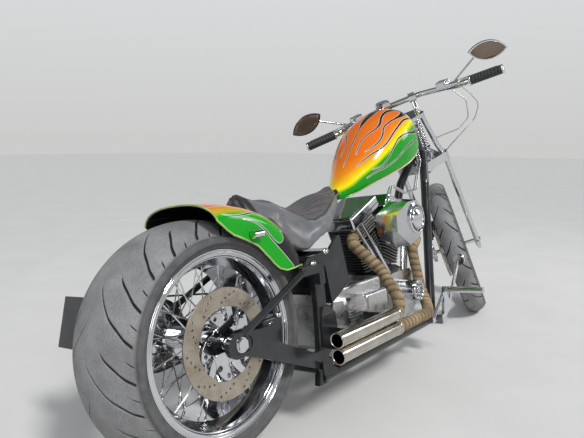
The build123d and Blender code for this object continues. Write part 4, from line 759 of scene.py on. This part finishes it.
def seat_piece():
    """Cushion blown up from the seat's solid, then pleated."""
    made = linked("seat_cushion", nodes["seat"].data.copy())
    made.data.materials.clear()
    applied(made, "REMESH", mode="VOXEL", voxel_size=VOXEL)
    applied(made, "SMOOTH", factor=0.5, iterations=24)
    put_coordinates(made.data, coordinates(made.data) - SHRINK * coordinates(made.data, normals=True))
    start = coordinates(made.data)
    cloth = made.modifiers.new("Cloth", "CLOTH").settings
    cloth.use_pressure = True
    cloth.uniform_pressure_force = 4
    cloth.effector_weights.gravity = 0
    for step in range(1, CLOTH_FRAMES + 1):
        scene.frame_set(step)
    moved = coordinates(evaluated_mesh(made)) - start
    size = np.linalg.norm(moved, axis=1, keepdims=True)
    moved *= np.minimum(1, CLOTH_CAP / np.maximum(size, 1e-9))
    made.modifiers.clear()
    scene.frame_set(1)
    put_coordinates(made.data, start + moved)
    applied(made, "SMOOTH", factor=0.5, iterations=14)
    applied(made, "SUBSURF", levels=1)
    mesh = made.data
    points, normals = coordinates(mesh), coordinates(mesh, normals=True)
    x, y = (placed(points, bike.inverted()) * 1000).T[:2]
    local_up = normals @ np.array(bike)[:3, 2]
    inside = np.interp(x, *np.array(INSERT_HALF).T) - np.abs(y)
    inside = np.where(local_up > -0.1, inside, -30.0)
    pleats = np.abs(np.sin(math.pi * y / PLEAT)) ** 0.6
    field = np.clip((inside - 5) / 4, 0, 1)
    seam = np.exp(-((inside / 2.2) ** 2))
    piping = np.exp(-(((inside + 4.5) / 2.2) ** 2))
    lift = field * (pleats * 3.0 - 2.5) - 2.2 * seam + 1.2 * piping
    put_coordinates(mesh, points + normals * lift[:, None] / 1000)
    # Painted shade where the pleats and the seam sink in
    painted_crease_shade = np.clip(seam + field * np.clip(1.1 - pleats * 1.6, 0, 1) * 0.9, 0, 1)
    carry(mesh, {"insert": inside, "painted_crease_shade": painted_crease_shade, "tail": np.clip((232 - x) / 6, 0, 1)})
    shade(mesh, True)
    mesh.materials.append(looks["seat"])
    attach(made, "chassis")
    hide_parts("seat")


seat_look()
seat_piece()


# Brake discs with paired holes, and the swirled plate that carries the rear one
def drilled(made, holes, matrix, y_low, y_high):
    """Cuts round holes (x, z, radius in mm) along the local Y axis through a piece."""
    verts, faces = joined([swept([(x, y_low, z), (x, y_high, z)], radius, 20) for x, z, radius in holes])
    cutter = linked("cutter", new_mesh("cutter", placed(verts / 1000, matrix), faces))
    kept = list(made.data.materials)
    applied(made, "BOOLEAN", operation="DIFFERENCE", solver="EXACT", object=cutter)
    bpy.data.objects.remove(cutter)
    made.data.materials.clear()
    for look in kept:
        made.data.materials.append(look)
    shade(made.data, False)


# (degrees, radius) of the holes in each of ten groups
HOLE_GROUP = ((0, 135), (7, 126), (14, 118), (21, 109))
HOLE_RADIUS = 3.4
DISC_HOLES = [(*polar(36 * k + a, r), HOLE_RADIUS) for k in range(10) for a, r in HOLE_GROUP]


def disc_piece(name, axle, body, y, node_name):
    """Drilled brake disc."""
    profile = [(-2.5, 97), (-2.5, 145.4), (-1.9, 146), (1.9, 146), (2.5, 145.4), (2.5, 97)]
    ring = turned_ring([(y + side, radius) for side, radius in profile])
    made = built(name, [ring], axle, "disc_face", "disc_steel", body=body, replaces=node_name)
    drilled(made, DISC_HOLES, axle, y - 8, y + 8)


def disc_look():
    """Tan steel, mottled and grained."""
    tree, bsdf = shader("disc_face", (0.5, 0.45, 0.38), 0.35, 1.0)
    broad, fine = noise(tree, 30, 4, 0.6), noise(tree, 300, 3, 0.6)
    colour = ramp(tree, broad, [(0.3, (0.40, 0.345, 0.27)), (0.7, (0.58, 0.52, 0.44))])
    colour = speckled(tree, colour, fine, 0.4, 0.6, 0.84)
    feed(tree, bsdf, Base_Color=colour, Roughness=spread(tree, broad, 0.30, 0.46))
    bump(tree, bsdf, fine, 0.25, 0.0003)


disc_look()
disc_piece("rear_disc_drilled", rear_axle, "rear_wheel", -128.2, "rear_brake_disc")
disc_piece("front_disc_drilled", front_axle, "front_wheel", 72.0, "front_brake_disc")

ARM_DEG = 72
ARM_SHARE = 0.62
HUB_REACH = 60
ARM_REACH = 36
ARM_SWEEP = 26
BORE = 24
# (y, share of the outline) from face to face
PLATE_LAYERS = ((-134.6, 0.985), (-133.8, 1.0), (-123.0, 1.0), (-122.2, 0.985))
# (degrees, radius, hole's radius) at each arm
PLATE_HOLES = ((46, 82, 6.5), (20, 68, 8.5), (58, 52, 5.0))


def swirl_plate():
    """Plate with five swept arms and round holes."""
    outline = []
    for degree in range(0, 360, 3):
        wave = (degree % ARM_DEG) / ARM_DEG
        rise = math.sin(math.pi * (wave / ARM_SHARE)) ** 0.8 if wave < ARM_SHARE else 0.0
        reach = HUB_REACH + ARM_REACH * rise
        outline.append(polar(degree + ARM_SWEEP * (reach - HUB_REACH) / ARM_REACH, reach))
    count = len(outline)
    rings = [[(x * s, y, z * s) for x, z in outline] for y, s in PLATE_LAYERS]
    for y in (PLATE_LAYERS[0][0], PLATE_LAYERS[-1][0]):
        rings.append([(x, y, z) for x, z in [polar(3 * k, BORE) for k in range(count)]])
    faces = grid_faces(len(PLATE_LAYERS), count, wrap_columns=True)
    back, front_bore, back_bore = [k * count for k in (3, 4, 5)]
    for k in range(count):
        j = (k + 1) % count
        faces.append((k, j, front_bore + j, front_bore + k))
        faces.append((back + k, back_bore + k, back_bore + j, back + j))
        faces.append((front_bore + k, front_bore + j, back_bore + j, back_bore + k))
    made = built("rear_disc_swirl", [(np.vstack(rings), faces)], rear_axle, "chrome", "chrome",
                 body="rear_wheel", smooth=False)
    holes = [(*polar(ARM_DEG * k + a, r), size) for k in range(5) for a, r, size in PLATE_HOLES]
    drilled(made, holes, rear_axle, -140, -116)


swirl_plate()

# Wrapped exhaust pipes: rows of (x, y, z, bend radius)
REAR_PIPE = ((746, -50, 522, 0), (676, -90, 504, 34), (704, -184, 404, 80), (666, -260, 318, 50),
             (666, -260, 267, 24), (640, -260, 267, 0))
FRONT_PIPE = ((1093, -20, 506, 0), (1114, -60, 492, 40), (1108, -120, 472, 36), (1014, -142, 444, 44),
              (1003, -168, 290, 90), (972, -208, 222, 60), (868, -260, 219.6, 80), (640, -260, 219.6, 0))
WRAP_PITCH = 24.0
PIPE_RADIUS = 21.0
TAPE_EDGE = 0.12


def rounded_route(rows, gap):
    """Even points along straight runs joined by arcs, and their way along it."""
    rows = np.array(rows, dtype=float)
    line = [rows[0, :3]]
    for before, at, after in zip(rows[:-2], rows[1:-1], rows[2:]):
        a, b = before[:3] - at[:3], after[:3] - at[:3]
        a, b = a / np.linalg.norm(a), b / np.linalg.norm(b)
        half_angle = math.acos(np.clip(a.dot(b), -1, 1)) / 2
        tangent = at[3] / math.tan(half_angle)
        start, end = at[:3] + a * tangent, at[:3] + b * tangent
        centre = at[:3] + (a + b) / np.linalg.norm(a + b) * at[3] / math.sin(half_angle)
        for share in np.linspace(0, 1, 14):
            out = start * (1 - share) + end * share - centre
            line.append(centre + out / np.linalg.norm(out) * at[3])
    line.append(rows[-1, :3])
    line = np.array(line)
    way = np.concatenate([[0], np.cumsum(np.linalg.norm(np.diff(line, axis=0), axis=1))])
    even = np.linspace(0, way[-1], int(way[-1] / gap))
    return np.column_stack([np.interp(even, way, line[:, k]) for k in range(3)]), even


def wrapped_pipe(rows, sides=36):
    """Tube wound with overlapping tape: (points, faces), and how deep each point lies in a tape edge."""
    line, way = rounded_route(rows, 2.6)
    verts, faces = swept(line, PIPE_RADIUS, sides)
    angle = np.tile(np.arange(sides) / sides, len(line))
    turns = (np.repeat(way, sides) / WRAP_PITCH + angle) % 1.0
    rise = np.where(turns < TAPE_EDGE, turns / TAPE_EDGE, 1 - 0.55 * (turns - TAPE_EDGE) / (1 - TAPE_EDGE))
    centre = np.repeat(line, sides, axis=0)
    verts = centre + (verts - centre) * (1 + (rise[:, None] * 2.6 - 2.2) / PIPE_RADIUS)
    return (verts, faces), np.clip(1 - rise, 0, 1)


def wrap_look():
    """Tan woven tape with painted shade where its turns meet, scorched in places."""
    tree, bsdf = shader("wrap_tape", (0.30, 0.22, 0.13), 0.85)
    tans = [(0.28, (0.150, 0.105, 0.055)), (0.5, (0.300, 0.215, 0.115)), (0.75, (0.44, 0.345, 0.205))]
    threads = node(tree, "TexVoronoi", node(tree, "TexCoord", out="Object"), Scale=420.0)
    colour = speckled(tree, ramp(tree, noise(tree, 16, 4), tans), threads, 0.1, 0.6, 0.72)
    # Painted shade in the step where one turn of tape lies over the next
    edge = spread(tree, attribute(tree, "edge"), 0, 0.85, 0.22, 0.55)
    feed(tree, bsdf, Base_Color=blend_colours(tree, colour, (0.060, 0.042, 0.025), edge))
    bump(tree, bsdf, threads, 0.6, 0.0006)


wrap_look()
# edge: how deep each point lies in a tape's step, which the tape material paints as shade
pipes, edges = zip(*[wrapped_pipe(rows) for rows in (REAR_PIPE, FRONT_PIPE)])
built("wrapped_pipes", pipes, bike, "wrap_tape", "pipe_wrap", replaces="exhaust_pipes",
      values={"edge": np.concatenate(edges)})

# Caliper: bolts and a trim line
TO_RIGHT = (0, -1, 0)


def bolt(at, radius):
    """Domed bolt on a washer, standing off its seat to the right."""
    profile = [(0, radius * 1.35), (1.4, radius * 1.35), (1.6, radius), (radius * 0.8, radius),
               (radius * 1.05, radius * 0.72), (radius * 1.1, radius * 0.4)]
    return lathe(profile, at, TO_RIGHT, 20)


CALIPER_BOLTS = (((105, -158, 334), 6), ((176, -158, 366), 7), ((170, -158, 282), 6))
built("caliper_bolts", [bolt(*row) for row in CALIPER_BOLTS], bike, "chrome", "chrome")

LINE_X, LINE_Y, LINE_Z = 137, -158.6, 319
track = []
for k in range(48):
    a = 2 * math.pi * k / 48
    u, w = 13 * math.cos(a), 34 * math.sin(a)
    pinch = 1 - 0.28 * math.exp(-((w / 14) ** 2))
    track.append((LINE_X + u * pinch + 0.13 * w, LINE_Y, LINE_Z + w))
track = np.array(track + track[:1])
piece("caliper_line", swept(placed(track / 1000, bike), 0.0016, 8, ends=False), "chrome", "chrome")

# Muffler rings: at each outlet and each inlet
OUTLET_X, INLET_X, MUFFLER_Y, MUFFLER_Z = 300, 640, -260, (267.0, 219.6)
OUTLET_RING = [(0, 19.6), (-2.5, 20.5), (-2.5, 23.2), (-0.5, 24.0), (6, 24.0), (7.5, 22.9)]
INLET_RING = [(-6, 22.8), (-5, 24.2), (5, 24.2), (6, 22.8)]
rings = []
for z in MUFFLER_Z:
    for x, profile in ((OUTLET_X, OUTLET_RING), (INLET_X, INLET_RING)):
        rings.append(lathe(profile, (x, MUFFLER_Y, z), (1, 0, 0), ends=False))
built("muffler_rings", rings, bike, "muffler", "muffler_metal")


# Rim steps as beads
def torus_ring(y, radius, thick, sides=10, steps=144):
    """Ring of round section about Y."""
    a = np.arange(sides) * 2 * math.pi / sides
    return turned_ring(np.column_stack([y + thick * np.cos(a), radius + thick * np.sin(a)]), steps)


# (y, radius, thickness)
REAR_BEADS = ((124.0, 244.4, 2.6), (122.2, 238.0, 3.2), (120.0, 231.0, 3.0), (114.0, 225.6, 2.6))
FRONT_BEADS = ((37.4, 279.0, 2.0), (35.6, 273.0, 2.6))
RIMS = (
    ("rear_rim_beads", "rear_wheel", rear_axle, REAR_BEADS),
    ("front_rim_beads", "front_wheel", front_axle, FRONT_BEADS),
)
for name, body, axle, beads in RIMS:
    steps = [torus_ring(sign * y, radius, thick) for y, radius, thick in beads for sign in (-1, 1)]
    built(name, steps, axle, "chrome", "chrome", body=body)

# Air cleaner face: dark ring, bright dome and edge, six bolts
AIR_AT = (887.0, -240.0, 569.0)
AIR_RING = [(-0.5, 52), (5, 52), (7.5, 49), (7.5, 40), (5.5, 38), (4.0, 30), (3.6, 1)]
AIR_DOME = [(4, 36), (8.5, 35.5), (10, 33), (14.5, 26), (18.5, 17), (20.5, 8), (21, 1)]
AIR_BEAD = [(7.5, 41), (9.6, 40.4), (10.0, 38.8), (9.4, 37.4), (7.5, 37)]
AIR_EDGE = [(5.5, 54), (8.0, 53), (8.0, 50.8), (6, 49.6)]
built("air_ring", [lathe(AIR_RING, AIR_AT, TO_RIGHT, 72)], bike, "ring_dark", "engine_black")
parts = [lathe(AIR_DOME, AIR_AT, TO_RIGHT, 72)]
parts += [lathe(profile, AIR_AT, TO_RIGHT, 72, ends=False) for profile in (AIR_BEAD, AIR_EDGE)]
for k in range(6):
    x, z = polar(60 * k + 15, 45)
    parts.append(bolt((AIR_AT[0] + x, AIR_AT[1] - 7.2, AIR_AT[2] + z), 2.4))
built("air_dome", parts, bike, "chrome", "chrome")

# Canister face: a rim, a hub and eight dark slots
CAN_AT = (930.0, -200.0, 291.0)
CAN_HUB = [(0.3, 12), (3, 11), (3.4, 1)]
CAN_RIM = [(-1, 39), (3.5, 38.5), (4.5, 36), (3.5, 33), (0, 32.4)]
CAN_SLOT = [(0.2, 5.4), (0.9, 5.2), (0.9, 4.6), (0.5, 4.2), (0.5, 0.5)]
parts = [lathe(CAN_HUB, CAN_AT, TO_RIGHT, 64), lathe(CAN_RIM, CAN_AT, TO_RIGHT, 64, ends=False)]
built("canister_rim", parts, bike, "chrome", "chrome")
slots = []
for k in range(8):
    x, z = polar(45 * k + 10, 22)
    slots.append(lathe(CAN_SLOT, (CAN_AT[0] + x, CAN_AT[1], CAN_AT[2] + z), TO_RIGHT, 20))
built("canister_slots", slots, bike, "ring_dark", "engine_black")

# Fork springs as coils on their rods
SPRING_X, SPRING_Y = 73, 38
COILS = (
    # steps, turns, coil's radius, lowest z, height, wire's radius
    (260, 7.5, 15.6, 606, 116, 3.1),
    (110, 4, 11, 733, 44, 2.4),
)
parts = []
for side in (-1, 1):
    y = side * SPRING_Y
    for steps, turn_count, radius, low, height, wire in COILS:
        way = np.linspace(0, 1, steps)
        a = way * turn_count * 2 * math.pi
        coil = np.column_stack([SPRING_X + radius * np.cos(a), y + radius * np.sin(a), low + height * way])
        parts.append(swept(coil, wire, 8))
    parts.append(lathe([(0, 6), (178.7, 6)], (SPRING_X, y, 605.2), (0, 0, 1), 24))
    parts.append(lathe([(0, 18), (1, 19), (5, 19), (6, 18)], (SPRING_X, y, 724.5), (0, 0, 1), 32))
built("fork_coils", parts, steer, "chrome", "chrome", body="steering", replaces="fork_springs")

# Grip collars, end caps and ribs
GRIP_RUN = np.array((-34.0, 118.0, 8.0)) / math.sqrt(34.0**2 + 118.0**2 + 8.0**2)
GRIP_CAP = [(0.2, 17), (0.2, 18.6), (3, 19.2), (6, 18.4), (8, 14), (8.6, 6), (8.7, 1)]
GRIP_COLLAR = [(-128, 17.7), (-128, 22.5), (-124.5, 22.5), (-123, 20), (-123, 17.7)]
GRIP_RIB = [(-118, 17.6), (-117.4, 18.3), (-108.6, 18.3), (-108, 17.6)]
RIB_GAP = 13
grip_ends, grip_ribs = [], []
for side in (-1, 1):
    run = GRIP_RUN * (1, side, 1)
    end = (-202.0, side * 419.5, 930.0)
    grip_ends.append(lathe(GRIP_CAP, end, run, 40))
    grip_ends.append(lathe(GRIP_COLLAR, end, run, 40, ends=False))
    for k in range(9):
        rib = [(along_run + RIB_GAP * k, radius) for along_run, radius in GRIP_RIB]
        grip_ribs.append(lathe(rib, end, run, 40, ends=False))
built("grip_ends", grip_ends, steer, "chrome", "chrome", body="steering")
built("grip_ribs", grip_ribs, steer, "grip", "grip_rubber", body="steering")

# Bolts on the frame's ear plates
built("frame_bolts", [bolt((x, -165.5, z), 8) for x, z in ((346, 483), (413, 513))], bike, "chrome", "chrome")


# Mirror glass, set in from the head's edge
def arc_through(a, b, c, steps=24):
    """Points of the arc from a through b to c, in a plane."""
    a, b, c = [np.array(p, dtype=float) for p in (a, b, c)]
    lines = 2 * np.array([b - a, c - a])
    centre = np.linalg.solve(lines, [b.dot(b) - a.dot(a), c.dot(c) - a.dot(a)])
    first, middle, last = [math.atan2(*(p - centre)[::-1]) for p in (a, b, c)]
    span = (last - first) % (2 * math.pi)
    if (middle - first) % (2 * math.pi) > span:
        span -= 2 * math.pi
    angles = first + span * np.linspace(0, 1, steps, endpoint=False)
    return centre + np.linalg.norm(a - centre) * np.column_stack([np.cos(angles), np.sin(angles)])


# (x, share of the outline), from the rim to the middle
GLASS_LAYERS = ((-155.5, 0.90), (-156.6, 0.90), (-157.2, 0.87), (-157.5, 0.5), (-157.6, 0.1))
glasses = []
for side in (-1, 1):
    tip, end = (side * 322, 1028), (side * 470, 990)
    outline = np.vstack([arc_through(tip, (side * 406, 1046), end), arc_through(end, (side * 388, 971), tip)])
    middle = outline.mean(axis=0)
    rings = [(np.full(len(outline), x), middle + (outline - middle) * share) for x, share in GLASS_LAYERS]
    glasses.append(loft([np.column_stack(ring) for ring in rings]))
built("mirror_glass", glasses, steer, "mirror_glass", "chrome", body="steering")

# Rounded edges of CAD nodes, in mm
EDGES = {
    4.0: ("rocker_boxes",),
    3.0: ("air_cleaner", "oil_tank"),
    2.5: ("rear_caliper",),
    2.0: ("gearbox", "crankcase", "swingarm_left", "swingarm_right", "front_caliper"),
    1.5: ("frame_rail_left", "frame_rail_right", "foot_controls"),
}
for width, names in EDGES.items():
    for name in names:
        rounded = nodes[name].modifiers.new("edge", "BEVEL")
        rounded.width = width / 1000
        rounded.segments = 3
        rounded.limit_method = "ANGLE"
        rounded.angle_limit = math.radians(38)
        rounded.harden_normals = False

# Floor and light
FLOOR_HALF = 40
floor_mesh = bpy.data.meshes.new("floor")
corners = [(FLOOR_HALF * x, FLOOR_HALF * y, 0) for x, y in ((-1, -1), (1, -1), (1, 1), (-1, 1))]
floor_mesh.from_pydata(corners, [], [(0, 1, 2, 3)])
floor = linked("floor", floor_mesh)
floor.data.materials.append(looks["floor"])

# World: a plain light, and a studio that only the camera, gloss and glass see
# (height, colour)
SKY = [(0.0, (0.60, 0.60, 0.595)), (0.28, (0.70, 0.71, 0.72)), (0.45, (0.20, 0.21, 0.23)),
       (0.75, (0.05, 0.055, 0.065)), (1.0, (0.40, 0.42, 0.45))]
world = bpy.data.worlds.new("world")
scene.world = world
world.use_nodes = True
tree = world.node_tree
background = tree.nodes["Background"]
background.inputs["Color"].default_value = (0.90, 0.94, 1.0, 1)
background.inputs["Strength"].default_value = 0.42
height = node(tree, "SeparateXYZ", node(tree, "TexCoord", out="Generated"), out="Z")
studio = node(tree, "Background", ramp(tree, height, SKY))
rays = node(tree, "LightPath", out="Is Camera Ray")
for kind in ("Is Glossy Ray", "Is Transmission Ray"):
    rays = node(tree, "Math", rays, node(tree, "LightPath", out=kind), operation="MAXIMUM")
mixed = node(tree, "MixShader", rays, background.outputs["Background"], studio)
tree.links.new(mixed, tree.nodes["World Output"].inputs["Surface"])

LAMP_AIM = Vector((0, 0, 0.4))
LAMPS = (
    # name, kind, place, strength, size
    ("sun", "SUN", (-0.6, -3.2, 4.2), 2.3, 0.2),
    ("key", "AREA", (-2.6, -2.6, 2.2), 26, 1.2),
    ("fill", "AREA", (-3.5, 1.5, 2.0), 16, 1.4),
    ("rim", "AREA", (2.8, -2.2, 2.6), 26, 1.2),
)
for name, kind, place, strength, size in LAMPS:
    lamp = bpy.data.lights.new(name, kind)
    lamp.energy = strength
    if kind == "SUN":
        lamp.angle = size
    else:
        lamp.size = size
    made = linked(name, lamp)
    made.location = place
    made.rotation_euler = (LAMP_AIM - Vector(place)).to_track_quat("-Z", "Y").to_euler()
